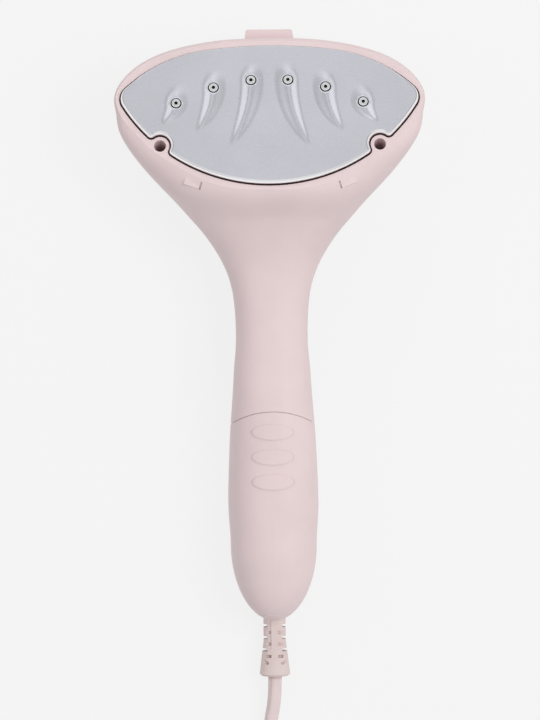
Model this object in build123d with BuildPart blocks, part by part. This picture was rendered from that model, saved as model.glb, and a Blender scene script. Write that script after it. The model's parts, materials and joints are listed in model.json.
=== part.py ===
# Handheld garment steamer lying on its back, soleplate up.
# X runs across the head, Y from the cord to the head, Z up from the floor, in millimetres.

from math import asin, cos, degrees, hypot, pi, radians, sin, sqrt, tan
import os

from build123d import *

os.makedirs("parts", exist_ok=True)

# Body outline
WALL = 2.4
HEAD_HALF = 75.0
HEAD_Y = 106.0
TOP_RISE = 32.8
NECK_HALF = 17.8
HANDLE_HALF = 22.4
END_HALF = 21.4
END_Y = -109.0
END_DROP = 38.0
END_Z = 27.0
END_POWER = 2.0
CAP_POWER = 2.3
RIM_LAND = 1.1
TOP_LAND = 1.8
RIM_DEPTH = 6.0
RIM_BACK_Z = 38.0

# Soleplate plane, tilted back from the lower lip
PLATE_TILT = 12.0
LIP_Y = 63.1
LIP_Z = 72.5

# Soleplate outline on that plane
PLATE_FOOT = 3.3
PLATE_CROWN = 72.3
TIP_R = 7.0
TIP_RIM = 3.2
TIP_V = 46.4
CROWN_R = 230.0
CROWN_HALF = 30.0
PLATE_GAP = 0.7
WELL_X = 52.8
WELL_V = 22.9
WELL_R = 2.9
NOTCH_R = 5.2
NOTCH_BLEND = 2.0

# Soleplate section
PLATE_PROUD = 2.0
SHEET = 1.0
SKIRT = 4.0
ROLL_R = 0.8
RIDGE_HEIGHT = 0.6
RIDGE_HALF = 4.4
RIDGE_BOW = 3.0

# Steam nozzles
NOZZLE_V = 55.2
NOZZLE_ARC_R = 92.0
NOZZLE_XS = (8.9, 27.0, 45.0)
NOZZLE_HEAD_R = 2.4
NOZZLE_HEAD = 0.7
NOZZLE_R = 1.6
NOZZLE_BORE_R = 0.75

# Boiler, measured down from the plate plane
FLANGE_TOP = -4.0
FLANGE_FOOT = -7.0
BLOCK_FOOT = -10.0
GASKET = 0.8
COVER = 2.5
CHAMBER_TOP = -4.5
CHAMBER_WIDTH = 15.0
COVER_WIDTH = 25.0
CHAMBER_SWEEP = 29.0
HEATER_R = 3.25
HEATER_IN = 19.0
HEATER_HALF = 38.0
LUG_X = 24.0
LUG_V = 3.1
LUG_R = 2.8
EAR_HALF = 18.0
FLANGE_GROW = 0.4
SEAL_HEIGHT = 2.8
HEATER_TOP = -3.75
HEATER_LEG = -15.0
HEATER_PIN = -21.0
HEATER_PIN_R = 1.2
COVER_SCREW = 4.0
LUG_SCREW = 5.0
STAT_V = 19.0
STAT_R = 8.0
STAT_HIGH = 5.0
STAT_FLANGE = 0.8
STAT_SCREW_X = 12.0
FUSE_U = 27.0
FUSE_V = 15.5
FUSE_R = 2.0
INLET_X = 36.0
INLET_LONG = 9.0

# Screws
SCREW_R = 1.5
SCREW_HEAD_R = 2.6
SCREW_HEAD = 2.4
SMALL_SCREW_R = 1.25
SMALL_HEAD_R = 2.2
SMALL_HEAD = 1.2
FIT = 0.05
CLEAR = 0.4

# Parting lines
DECK_Z = 18.0
DECK = 2.0
DECK_END = -40.0
SPLIT_LINE = ((-170.0, DECK_Z), (-36.0, DECK_Z), (20.0, 29.0), (80.0, 42.0), (170.0, 42.0))
SPLIT_BEND = 30.0
SEAM_Y = -43.0
SEAM_R = 38.5
SEAM_GAP = 0.35
TANK_GAP = 0.4

# Case screw wells
WELL_SEAT = -22.0
WELL_POST_R = 4.2
CASE_SCREW_END = -38.0
NECK_SCREW_X = 17.2
NECK_SCREW_Y = 30.0
NECK_SCREW_SEAT = 23.5
NECK_SCREW_END = 39.0
NECK_POST_R = 4.0
SPINE_POST_X = 10.5
SPINE_POST_YS = (-62.0, -94.0)
SPINE_POST_R = 3.0
SPINE_SCREW = 8.0

# Grip pads and accessory catches
GRIP_RISE = 0.45
GRIP_YS = (-53.0, -65.2, -77.4)
GRIP_LONG = 20.6
GRIP_WIDE = 7.6
CATCH_X = 37.5
CATCH_V = 4.8
CATCH_LONG = 7.6
CATCH_WIDE = 3.2
CATCH_TURN = 20.0
CATCH_TOP = -1.1
CATCH_DROP = 1.2
CATCH_FOOT = -8.0
CATCH_SLOT = 0.9
CATCH_DEPTH = 0.9
TAB_HALF = 12.4
TAB_TOP = 145.3
TAB_LOW_Z = 27.0
TAB_HIGH_Z = 36.0
TAB_ROUND = 1.2

# Tank
BASE = 2.0
RAIL_STEM = 6.0
RAIL_HEAD = 12.0
RAIL_STEM_TOP = 20.4
RAIL_TOP = 22.2
RAIL_LOW_Y = -128.0
RAIL_HIGH_Y = -52.0
RAIL_GAP = 0.4
HAT = 2.0
OUTLET_Z = 34.0
OUTLET_SEAT = -45.4
OUTLET_FLANGE = 1.0
OUTLET_FLANGE_R = 8.0
OUTLET_STEM_R = 6.0
OUTLET_STEM_END = -51.0
OUTLET_TIP = -38.4
POPPET_SEAT = -47.0
POPPET_R = 3.4
POPPET = 1.6
POPPET_STEM_R = 1.2
POPPET_STEM_END = -42.0
POPPET_BORE_R = 3.8
RETAINER_SEAT = -41.2
RETAINER_R = 4.3
RETAINER = 2.0
ORING_Y = -40.4
ORING_R = 0.8
ORING_FLOOR = 5.0
FILLER_Z = 29.0
FILLER_R = 6.0
FILLER_HEAD_R = 7.7
FILLER_SEAT = -141.0
FILLER_END = -136.0

# Tank dock
DOCK_SEAT = -37.0
DOCK_FLANGE = 2.5
DOCK_LONG = 32.0
DOCK_WIDE = 21.0
DOCK_TUBE_R = 8.4
DOCK_SCREW_X = 12.6
DOCK_SCREW = 4.5
DOCK_MOUTH = -42.6
BARB_R = 2.4
BARB_BORE_R = 1.4
DOCK_BARB_END = -24.0
HOSE_R = 3.6
HOSE_BEND = 4.0
HOSE_X = -7.0
HOSE_OUT = 42.0

# Pump
PUMP_Y = 86.0
PUMP_Z = 29.0
PUMP_HALF = 18.0
PUMP_PLATE = 1.5
PUMP_SIDE = 12.5
COIL_R = 11.0
PUMP_TUBE_R = 4.0
PUMP_BORE_R = 3.0
PUMP_TUBE_HALF = 26.0
PUMP_BARB_HALF = 36.0
PUMP_FOOT_Y = 16.5
PUMP_POST_TOP = 11.0
PUMP_POST_R = 4.2
PUMP_SCREW = 4.5
PUMP_MOUNT = 2.0
PISTON_LONG = 18.0
PISTON_X = -14.0
PISTON_ROOM = 14.0
FINE_SPRING_R = 2.2
FINE_WIRE = 0.3

# Control board
BOARD_Z = 25.0
BOARD = 1.6
BOARD_HALF = 12.0
BOARD_LOW = -14.0
BOARD_HIGH = 54.0
BOARD_POST_X = 9.5
BOARD_POST_YS = (-10.8, 50.0)
BOARD_POST_R = 2.5
BOARD_SCREW_R = 1.1
BOARD_SCREW = 6.0

# Buttons and switches
STEAM_Y = 4.0
STEAM_LONG = 26.0
STEAM_WIDE = 13.0
STEAM_LOW = 9.4
STEAM_SEAT = 17.6
POWER_Y = 40.0
POWER_R = 5.2
POWER_LOW = 9.8
POWER_SEAT = 16.0
RING_R = 7.6
RING_FLANGE_R = 9.2
RING_FLANGE = 1.0
BUTTON_GAP = 0.35
BUTTON_FLANGE = 1.5
FLANGE_REACH = 2.0
STEM_R = 2.4
PLUNGER_R = 1.7
PLUNGER_LOW = 20.4
PLUNGER_HIGH = 23.0
SWITCH_LOW = 21.9
SWITCH_SIDE = 6.2
SWITCH_WELL = 24.4
SPRING_R = 5.6
SPRING_WIRE = 0.35
SPRING_TURNS = 3.5

# Cord and strain relief
CORD_R = 3.4
CORD_Z = 9.0
RELIEF_SEAT = -136.0
RELIEF_INNER = -124.0
RELIEF_FLANGE = 3.0
RELIEF_NECK_R = 4.4
RELIEF_FLANGE_R = 5.5
RELIEF_R = 5.6
RELIEF_FLARE_Y = -159.0
RELIEF_END = -176.6
RELIEF_END_R = 7.7
RELIEF_RIB = 3.3
RELIEF_SLOT = 1.5
RELIEF_NOTCH_YS = (-151.3, -157.3, -163.4)
RELIEF_POCKET_YS = (-154.4, -160.3, -166.4)
RELIEF_POCKET = 2.6
RELIEF_HOOK_X = 4.5
RELIEF_HOOK_Y = -169.4
RELIEF_HOOK = 3.2
RELIEF_HOOK_TURN = 28.0
CLAMP_Y = -112.0
CLAMP_SCREW_X = 9.0
CLAMP_TOP = 14.0
CLAMP_SCREW = 5.0
LEAD_END = -102.0
WIRE_R = 1.1
WIRE_BEND = 4.0

# Cord coil and plug
COIL_LIFT = 0.9
COIL_MEAN_R = 40.0
COIL_PITCH = 7.3
COIL_STEP = 7.3
COIL_SPIRAL_QUARTERS = 14
CORD_EXIT_X = -6.5
COIL_Y = -258.0
TIE_WIDE = 9.0
TIE = 0.8
TIE_ROOM = 0.9
TIE_CORNER = 2.6
PLUG_R = 18.6
PLUG_Y = -312.0
PLUG_X = -6.0
PLUG_LONG = 44.0
PIN_R = 2.4
PIN_LONG = 19.0
PIN_X = 9.5

# Reach of cutting blocks, well outside the body
REACH = 400.0

# Values worked out from the sizes above
TILT_SIN = sin(radians(PLATE_TILT))
TILT_COS = cos(radians(PLATE_TILT))
PLATE = Plane(origin=(0, LIP_Y, LIP_Z), x_dir=(1, 0, 0), z_dir=(0, TILT_SIN, TILT_COS))
TIP_X = HEAD_HALF - TIP_RIM - TIP_R
TIP_UP = TIP_V - PLATE_FOOT
LOW_R = (TIP_X**2 + TIP_UP**2 - TIP_R**2) / (2 * TIP_UP - 2 * TIP_R)
LENS_R = LOW_R + PLATE_FOOT
NOZZLES = [
    (side * x, NOZZLE_V - NOZZLE_ARC_R + sqrt(NOZZLE_ARC_R**2 - x**2)) for x in NOZZLE_XS for side in (-1, 1)
]
WELLS = [(-WELL_X, WELL_V), (WELL_X, WELL_V)]
COVER_FOOT = BLOCK_FOOT - GASKET - COVER
TANK_Z = DECK_Z + TANK_GAP
BASE_TOP = TANK_Z + BASE
BOARD_TOP = BOARD_Z + BOARD
PUMP_BASE = PUMP_POST_TOP + PUMP_MOUNT
DOCK_BORE_R = ORING_FLOOR + 2 * ORING_R + FIT
SPINE_POSTS = [(side * SPINE_POST_X, y) for y in SPINE_POST_YS for side in (-1, 1)]
BOARD_POSTS = [(side * BOARD_POST_X, y) for y in BOARD_POST_YS for side in (-1, 1)]
STAT_SCREWS = [(-STAT_SCREW_X, STAT_V), (STAT_SCREW_X, STAT_V)]
INLET = (INLET_X, NOZZLE_V - NOZZLE_ARC_R + sqrt(NOZZLE_ARC_R**2 - INLET_X**2))
SCREW_BAND = (CHAMBER_WIDTH + COVER_WIDTH) / 4
COVER_SCREWS = [
    (reach * sin(radians(turn)), NOZZLE_V - NOZZLE_ARC_R + reach * cos(radians(turn)))
    for turn in (-26, -9, 9, 26)
    for reach in (NOZZLE_ARC_R - SCREW_BAND, NOZZLE_ARC_R + SCREW_BAND)
]

# Rise above and drop below each nozzle and lean of both ends of its ridge, from the middle out
RIDGES = ((11.0, 28.0, 1.2, 9.2), (11.0, 18.5, 2.0, 6.8), (11.5, 9.0, 1.2, 6.0))

# Half width, height of the widest line, front and back heights along the body
HALF_WIDTHS = (
    (END_Y, END_HALF), (-89.0, HANDLE_HALF), (-60.0, 21.5), (-30.0, 19.4), (-3.0, NECK_HALF), (12.0, 18.6),
    (28.0, 22.9), (45.0, 33.4), (62.0, 48.6), (80.0, 64.8), (94.0, 0.973 * HEAD_HALF), (HEAD_Y, HEAD_HALF),
)
SIDE_HEIGHTS = (
    (END_Y, 25.0), (-60.0, 26.0), (-3.0, 29.5), (28.0, 32.0), (45.0, 36.0), (64.0, 44.0), (80.0, 51.0),
    (94.0, 55.5), (HEAD_Y, 57.4),
)
FRONT_HEIGHTS = (
    (END_Y, 46.8), (-89.0, 48.0), (-60.0, 48.3), (-30.0, 47.5), (-3.0, 46.8), (20.0, 47.8), (36.0, 52.0),
    (50.0, 60.2), (LIP_Y, LIP_Z),
)
BACK_HEIGHTS = (
    (END_Y, -0.3), (-89.0, -0.6), (-60.0, 1.0), (-30.0, 5.5), (-3.0, 11.5), (20.0, 13.5), (40.0, 11.5),
    (62.0, 6.0), (84.0, 1.2), (HEAD_Y, -0.8),
)
FRONT_POWERS = ((END_Y, 2.2), (20.0, 2.2), (64.0, 3.0), (97.0, 4.0), (HEAD_Y, 4.0))
BACK_POWERS = ((END_Y, 2.2), (20.0, 2.2), (80.0, 2.0), (HEAD_Y, 2.0))
BODY_YS = (
    END_Y, -101, -89, -75, -60, -45, -30, -16, -3, 8, 18, 28, 37, 46, 55, 64, 72, 80, 88, 97, HEAD_Y,
)
CAP_ANGLES = (20, 37, 52, 66, 78, 87)
SECTION_STEPS = 20


# Smooth value between knots, never overshooting them
def through(knots, y):
    ys = [knot[0] for knot in knots]
    zs = [knot[1] for knot in knots]
    y = min(max(y, ys[0]), ys[-1])
    low = max(i for i in range(len(ys) - 1) if ys[i] <= y)

    def slope(i):
        if i in (0, len(ys) - 1):
            return 0.0
        before = (zs[i] - zs[i - 1]) / (ys[i] - ys[i - 1])
        after = (zs[i + 1] - zs[i]) / (ys[i + 1] - ys[i])
        return 0.0 if before * after <= 0 else 2 * before * after / (before + after)

    span = ys[low + 1] - ys[low]
    t = (y - ys[low]) / span
    ends = zs[low] * (1 + 2 * t) * (1 - t) ** 2 + zs[low + 1] * t * t * (3 - 2 * t)
    turns = slope(low) * t * (1 - t) ** 2 - slope(low + 1) * t * t * (1 - t)
    return ends + span * turns


# Height of the soleplate plane
def plate_z(y):
    return LIP_Z - (y - LIP_Y) * TILT_SIN / TILT_COS


# Half width of the rim where the body meets the soleplate plane
def rim_half(y, half):
    rise = (y - LIP_Y) / TILT_COS
    lower = sqrt(max(LENS_R**2 - (LENS_R - min(rise, LENS_R)) ** 2, 0.0))
    return min(lower, half - RIM_LAND)


# Point on a two-part superellipse
def section_point(angle, half, side, front, back, front_power, back_power):
    across = cos(radians(angle))
    up = sin(radians(angle))
    power = front_power if up >= 0 else back_power
    depth = front - side if up >= 0 else side - back
    x = half * abs(across) ** (2 / power)
    z = depth * abs(up) ** (2 / power)
    return (x if across >= 0 else -x, side + z if up >= 0 else side - z)


# Sections of the body from the cord end to the top of the head
def body_sections(inset):
    rows = []
    for angle in reversed(CAP_ANGLES):
        thin = cos(radians(angle)) ** (2 / CAP_POWER)
        out = sin(radians(angle)) ** (2 / CAP_POWER)
        side = END_Z + (SIDE_HEIGHTS[0][1] - END_Z) * thin
        front = END_Z + (FRONT_HEIGHTS[0][1] - inset - END_Z) * thin
        back = END_Z + (BACK_HEIGHTS[0][1] + inset - END_Z) * thin
        y = END_Y - (END_DROP - inset) * out
        half = (END_HALF - inset) * (1 - out**END_POWER) ** (1 / END_POWER)
        rows.append((y, half, side, front, back, FRONT_POWERS[0][1], BACK_POWERS[0][1]))
    for y in BODY_YS:
        half = through(HALF_WIDTHS, y)
        side = through(SIDE_HEIGHTS, y)
        power = through(FRONT_POWERS, y)
        front = through(FRONT_HEIGHTS, y)
        if y > LIP_Y:
            share = rim_half(y, half) / half
            front = side + (plate_z(y) - side) / (1 - share**power) ** (1 / power)
        back = through(BACK_HEIGHTS, y)
        rows.append((y, half - inset, side, front - inset, back + inset, power, through(BACK_POWERS, y)))
    for angle in CAP_ANGLES:
        thin = cos(radians(angle)) ** (2 / CAP_POWER)
        out = sin(radians(angle)) ** (2 / CAP_POWER)
        y = HEAD_Y + (TOP_RISE - inset) * out
        side = plate_z(y) - RIM_DEPTH
        power = FRONT_POWERS[-1][1]
        reach = (TOP_RISE * out) / (TOP_RISE - TOP_LAND)
        front = side + RIM_DEPTH * 0.75 * thin / cos(radians(CAP_ANGLES[-2])) ** (2 / CAP_POWER)
        if reach < 0.995:
            land = (HEAD_HALF - RIM_LAND) * (1 - reach**CAP_POWER) ** (1 / CAP_POWER)
            share = min(land / (HEAD_HALF * thin), 0.985)
            front = side + RIM_DEPTH / (1 - share**power) ** (1 / power)
        front = side + max(front - side - inset, 0.4 * (front - side))
        back = RIM_BACK_Z - (RIM_BACK_Z - BACK_HEIGHTS[-1][1]) * thin
        rows.append((y, (HEAD_HALF - inset) * thin, side, front, back + inset, power, BACK_POWERS[-1][1]))
    return rows


# Points evenly spaced round one section, from the front centre and back to it
def section_points(shape):
    fine = [section_point(90 - step, *shape) for step in range(181)]
    run = [0.0]
    for a, b in zip(fine, fine[1:]):
        run.append(run[-1] + hypot(b[0] - a[0], b[1] - a[1]))
    half = []
    for step in range(SECTION_STEPS + 1):
        want = run[-1] * step / SECTION_STEPS
        i = min(max(k for k in range(181) if run[k] <= want + 1e-9), 179)
        share = (want - run[i]) / (run[i + 1] - run[i])
        x = fine[i][0] + share * (fine[i + 1][0] - fine[i][0])
        z = fine[i][1] + share * (fine[i + 1][1] - fine[i][1])
        half.append((x, z))
    return half + [(-x, z) for x, z in half[-2:0:-1]]


# Solid of the whole body outline, drawn in by inset on every side
def body_form(inset):
    ticks = [step / (2 * SECTION_STEPS) for step in range(2 * SECTION_STEPS + 1)]
    with BuildPart() as form:
        for row in body_sections(inset):
            with BuildSketch(along(row[0])):
                with BuildLine():
                    add(Edge.make_spline(section_points(row[1:]), periodic=True, parameters=ticks))
                make_face()
        loft()
    return form.part


# Block of everything below a level of the soleplate plane
def under_plate(level):
    with BuildPart() as block:
        with BuildSketch(PLATE.offset(level)):
            Rectangle(2 * REACH, 2 * REACH)
        extrude(amount=-REACH)
    return block.part


# Block between two heights
def slab(low, high):
    with BuildPart() as block:
        with BuildSketch(Plane.XY.offset(low)):
            Rectangle(2 * REACH, 2 * REACH)
        extrude(amount=high - low)
    return block.part


# Block between two places along the body
def span(low, high):
    with BuildPart() as block:
        with BuildSketch(Plane.XZ.offset(-low)):
            Rectangle(2 * REACH, 2 * REACH)
        extrude(amount=low - high)
    return block.part


# Block on the front or the back side of the parting line
def parted(far):
    with BuildPart() as block:
        with BuildSketch(Plane.YZ):
            with BuildLine():
                line = FilletPolyline(*SPLIT_LINE, radius=SPLIT_BEND)
                Polyline(line @ 1, (SPLIT_LINE[-1][0], far), (SPLIT_LINE[0][0], far), line @ 0)
            make_face()
        extrude(amount=HEAD_HALF + 20, both=True)
    return block.part


# Block on the tank's side of the arched seam
def tank_side(radius):
    centre = SEAM_Y - SEAM_R
    with BuildPart() as block:
        with BuildSketch(Plane.XY):
            with BuildLine():
                ThreePointArc((-radius, centre), (0, centre + radius), (radius, centre))
                Polyline((radius, centre), (radius, -REACH), (-radius, -REACH), (-radius, centre))
            make_face()
        extrude(amount=REACH)
    return block.part


# Arc about a known centre, by its ends
def arc_points(centre, radius, start, end):
    a = ((start[0] - centre[0]) / radius, (start[1] - centre[1]) / radius)
    b = ((end[0] - centre[0]) / radius, (end[1] - centre[1]) / radius)
    length = hypot(a[0] + b[0], a[1] + b[1])
    middle = (centre[0] + radius * (a[0] + b[0]) / length, centre[1] + radius * (a[1] + b[1]) / length)
    return start, middle, end


# Soleplate outline, grown by the same amount all round
def plate_face(grow):
    tip = (TIP_X, TIP_V)
    low = (0.0, PLATE_FOOT + LOW_R)
    lean = CROWN_HALF / CROWN_R
    stand = sqrt(1 - lean**2)
    join = (CROWN_HALF, PLATE_CROWN - CROWN_R * (1 - stand))
    gap = (join[0] - tip[0], join[1] - tip[1])
    reach = 2 * (lean * gap[0] + stand * gap[1]) - 2 * TIP_R
    shoulder_r = (gap[0] ** 2 + gap[1] ** 2 - TIP_R**2) / reach
    shoulder = (join[0] - shoulder_r * lean, join[1] - shoulder_r * stand)
    crown = (0.0, PLATE_CROWN - CROWN_R)

    def away(centre, radius):
        length = hypot(tip[0] - centre[0], tip[1] - centre[1])
        share = radius / length
        return (centre[0] + share * (tip[0] - centre[0]), centre[1] + share * (tip[1] - centre[1]))

    foot = away(low, LOW_R + grow)
    brow = away(shoulder, shoulder_r + grow)
    top = (join[0] + grow * lean, join[1] + grow * stand)

    def mirror(point):
        return (-point[0], point[1])

    with BuildSketch() as face:
        with BuildLine():
            ThreePointArc(mirror(foot), (0, PLATE_FOOT - grow), foot)
            ThreePointArc(*arc_points(tip, TIP_R + grow, foot, brow))
            ThreePointArc(*arc_points(shoulder, shoulder_r + grow, brow, top))
            ThreePointArc(top, (0, crown[1] + CROWN_R + grow), mirror(top))
            ThreePointArc(*arc_points(mirror(shoulder), shoulder_r + grow, mirror(top), mirror(brow)))
            ThreePointArc(*arc_points(mirror(tip), TIP_R + grow, mirror(brow), mirror(foot)))
        make_face()
        with Locations(*WELLS):
            Circle(NOTCH_R - grow, mode=Mode.SUBTRACT)
        for well in WELLS:
            corners = face.vertices().sort_by_distance((well[0], well[1], 0))[:2]
            fillet(corners, max(NOTCH_BLEND + grow, 0.4))
    return face.sketch


# Prism of the soleplate outline between two levels of its plane
def plate_prism(grow, low, high):
    with BuildPart() as prism:
        with BuildSketch(PLATE.offset(low)):
            add(plate_face(grow))
        extrude(amount=high - low)
    return prism.part


# Round rod from one point along a direction
def rod(origin, direction, radius, length):
    with BuildPart() as bar:
        with BuildSketch(Plane(origin=origin, z_dir=direction)):
            Circle(radius)
        extrude(amount=length)
    return bar.part


# Point given across, up and out of the soleplate plane
def on_plate(u, v, n):
    return (u, LIP_Y + v * TILT_COS + n * TILT_SIN, LIP_Z - v * TILT_SIN + n * TILT_COS)


# Sketch plane across an accessory catch, its first direction towards the plate and its second out of it
def catch_plane(side):
    turn = radians(side * CATCH_TURN)
    across = (-sin(turn), cos(turn) * TILT_COS, -cos(turn) * TILT_SIN)
    length = (cos(turn), sin(turn) * TILT_COS, -sin(turn) * TILT_SIN)
    return Plane(origin=on_plate(side * CATCH_X, CATCH_V, 0), x_dir=across, z_dir=length)


# Sketch plane across the body at a place along it, facing the cord end
def along(y):
    return Plane.XZ.offset(-y)


# Bend radii of a cord run: smooth turns that use most of the shorter neighbour
def bends(points):
    radii = []
    for a, b, c in zip(points, points[1:], points[2:]):
        before = Vector(*b) - Vector(*a)
        after = Vector(*c) - Vector(*b)
        half_turn = radians(before.get_angle(after)) / 2
        radii.append(0.45 * min(before.length, after.length) / tan(half_turn))
    return radii


# Two arcs that leave one point along a direction and reach another along its own
def biarc(q0, t0, q1, t1):
    reach = q1 - q0
    both = t0 + t1
    a = both.dot(both) - 4
    b = -2 * reach.dot(both)
    c = reach.dot(reach)
    step = -c / b if abs(a) < 1e-9 else (-b - sqrt(b * b - 4 * a * c)) / (2 * a)
    middle = (q0 + t0 * step + q1 - t1 * step) / 2
    arcs = []
    for start, lead, end in ((q0, t0, middle), (q1, t1 * -1, middle)):
        chord = end - start
        flat = chord.normalized()
        rise = lead - flat * lead.dot(flat)
        turn = radians(lead.get_angle(chord))
        peak = start + chord / 2 + rise.normalized() * (chord.length / 2 * tan(turn / 2))
        arcs.append((start, peak, end))
    return [arcs[0], arcs[1][::-1]]


# Label one piece and write it out
def keep(piece, name):
    piece.label = name
    export_step(piece, "parts/" + name + ".step")


OUT_OF_PLATE = (0, TILT_SIN, TILT_COS)
INTO_HEAD = (0, -TILT_SIN, -TILT_COS)

# Shared forms of the body
outer_form = body_form(0.0)
pad_form = body_form(-GRIP_RISE)
catch_form = body_form(CATCH_DEPTH)
inner_form = body_form(WALL)
clear_form = body_form(WALL + CLEAR)
body = outer_form & under_plate(0) & slab(0, REACH)
cavity = inner_form & under_plate(-WALL)
front_half = parted(120.0)
rear_half = parted(-20.0)

# Front shell
front_outer = (body & front_half) - tank_side(SEAM_R)
front_room = cavity - tank_side(SEAM_R + WALL) + plate_prism(PLATE_GAP, -WALL - 1.5, 5)
front_core = front_outer - front_room
front_posts = Part()
for u, v in WELLS:
    front_posts += rod(on_plate(u, v, -WALL / 2), INTO_HEAD, WELL_POST_R, 50)
for u in (-LUG_X, LUG_X):
    front_posts += rod(on_plate(u, LUG_V, -WALL / 2), INTO_HEAD, LUG_R, -FLANGE_FOOT - WALL / 2)
for x in (-NECK_SCREW_X, NECK_SCREW_X):
    front_posts += rod((x, NECK_SCREW_Y, 0), (0, 0, 1), NECK_POST_R, 60)
with BuildPart() as dock_boss:
    with BuildSketch(along(DOCK_SEAT)):
        with Locations((0, OUTLET_Z)):
            SlotOverall(DOCK_LONG, DOCK_WIDE)
    extrude(amount=DOCK_SEAT - SEAM_Y + 2)
with BuildPart() as top_ledge:
    with BuildSketch(PLATE.offset(FLANGE_TOP)):
        with Locations((0, PLATE_CROWN + PLATE_GAP + 5)):
            Rectangle(2 * EAR_HALF - 4, 10)
    extrude(amount=-FLANGE_TOP - WALL / 2)
front_posts += dock_boss.part + top_ledge.part
front_posts = front_posts & front_outer
catch_tabs = Part()
catch_cut = Part()
for side in (-1, 1):
    with BuildPart() as catch:
        with BuildSketch(catch_plane(side)):
            with BuildLine():
                Polyline(
                    (CATCH_WIDE / 2, CATCH_FOOT), (CATCH_WIDE / 2, CATCH_TOP),
                    (-CATCH_WIDE / 2, CATCH_TOP - CATCH_DROP), (-CATCH_WIDE / 2, CATCH_FOOT), close=True,
                )
            make_face()
        extrude(amount=CATCH_LONG / 2, both=True)
    catch_tabs += catch.part
    with BuildPart() as slot:
        with BuildSketch(PLATE.offset(-14)):
            with Locations(Location((side * CATCH_X, CATCH_V), side * CATCH_TURN)):
                with Locations((-side * (CATCH_LONG + CATCH_SLOT) / 2, 0)):
                    Rectangle(CATCH_SLOT, CATCH_WIDE)
        extrude(amount=16)
    catch_cut += slot.part
catch_tabs = catch_tabs - inner_form
catch_cut = catch_cut - catch_form
with BuildPart() as front_shell:
    add(front_core)
    add(front_posts)
    add(catch_tabs)
    add(catch_cut, mode=Mode.SUBTRACT)
    with BuildSketch(PLATE.offset(5)):
        with Locations(*WELLS):
            Circle(WELL_R)
    extrude(amount=WELL_SEAT - 5, mode=Mode.SUBTRACT)
    with BuildSketch(PLATE.offset(WELL_SEAT + 1)):
        with Locations(*WELLS):
            Circle(SCREW_R + 4 * FIT)
    extrude(amount=-30, mode=Mode.SUBTRACT)
    with BuildSketch(PLATE.offset(FLANGE_FOOT - 1)):
        with Locations((-LUG_X, LUG_V), (LUG_X, LUG_V)):
            Circle(SMALL_SCREW_R + FIT)
    extrude(amount=LUG_SCREW + 1, mode=Mode.SUBTRACT)
    with BuildSketch(along(DOCK_SEAT + 1)):
        with Locations((0, OUTLET_Z)):
            Circle(DOCK_TUBE_R + 2 * FIT)
    extrude(amount=14, mode=Mode.SUBTRACT)
    with BuildSketch(along(DOCK_SEAT + 1)):
        with Locations((-DOCK_SCREW_X, OUTLET_Z), (DOCK_SCREW_X, OUTLET_Z)):
            Circle(SMALL_SCREW_R + FIT)
    extrude(amount=DOCK_SCREW + 1, mode=Mode.SUBTRACT)
    with BuildSketch(Plane.XY):
        with Locations((-NECK_SCREW_X, NECK_SCREW_Y), (NECK_SCREW_X, NECK_SCREW_Y)):
            Circle(SCREW_R + FIT)
    extrude(amount=NECK_SCREW_END + 1, mode=Mode.SUBTRACT)
keep(front_shell.part, "front_shell")

# Rear shell with the spine under the tank
rear_outer = (body & rear_half) - (slab(DECK_Z - DECK, DECK_Z) & span(-REACH, DECK_END))
rear_core = rear_outer - cavity
rear_posts = Part()
for u, v in WELLS:
    rear_posts += rod(on_plate(u, v, WELL_SEAT), INTO_HEAD, WELL_POST_R, 50)
for x in (-NECK_SCREW_X, NECK_SCREW_X):
    rear_posts += rod((x, NECK_SCREW_Y, 0), (0, 0, 1), NECK_POST_R, 60)
for x, y in SPINE_POSTS:
    rear_posts += rod((x, y, 0), (0, 0, 1), SPINE_POST_R, DECK_Z - DECK)
for x in (-CLAMP_SCREW_X, CLAMP_SCREW_X):
    rear_posts += rod((x, CLAMP_Y, 0), (0, 0, 1), SPINE_POST_R, CORD_Z)
for y in (PUMP_Y - PUMP_FOOT_Y, PUMP_Y + PUMP_FOOT_Y):
    rear_posts += rod((0, y, 0), (0, 0, 1), PUMP_POST_R, PUMP_POST_TOP)
rear_posts += rod((0, POWER_Y, 0), (0, 0, 1), RING_FLANGE_R + 1.5, POWER_SEAT)
with BuildPart() as steam_pad:
    with BuildSketch(Plane.XY):
        with Locations(Location((0, STEAM_Y), 90)):
            SlotOverall(STEAM_LONG + 4 * FLANGE_REACH, STEAM_WIDE + 4 * FLANGE_REACH)
    extrude(amount=STEAM_SEAT)
with BuildPart() as relief_block:
    with BuildSketch(along(RELIEF_INNER)):
        with Locations((0, (DECK_Z - DECK) / 2)):
            Rectangle(2 * RELIEF_FLANGE_R + 6, DECK_Z - DECK)
    extrude(amount=RELIEF_INNER - RELIEF_SEAT)
with BuildPart() as cradle:
    with BuildSketch(Plane.XY):
        with Locations((0, CLAMP_Y)):
            Rectangle(6, 8)
    extrude(amount=CORD_Z - CORD_R)
rear_posts += steam_pad.part + relief_block.part + cradle.part
rear_posts = rear_posts & rear_outer
board_posts = Part()
for x, y in BOARD_POSTS:
    board_posts += rod((x, y, 0), (0, 0, 1), BOARD_POST_R, BOARD_Z)
board_posts = board_posts & body
with BuildPart() as top_tab:
    with BuildSketch(Plane.XY.offset(TAB_LOW_Z)):
        with BuildLine():
            Polyline(
                (-TAB_HALF, HEAD_Y), (-TAB_HALF, TAB_TOP - 7), (-TAB_HALF + 1, TAB_TOP),
                (TAB_HALF - 1, TAB_TOP), (TAB_HALF, TAB_TOP - 7), (TAB_HALF, HEAD_Y), close=True,
            )
        make_face()
    extrude(amount=TAB_HIGH_Z - TAB_LOW_Z)
    fillet(top_tab.faces().sort_by(Axis.Y)[-1].edges(), TAB_ROUND)
tab_piece = top_tab.part - inner_form
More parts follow.
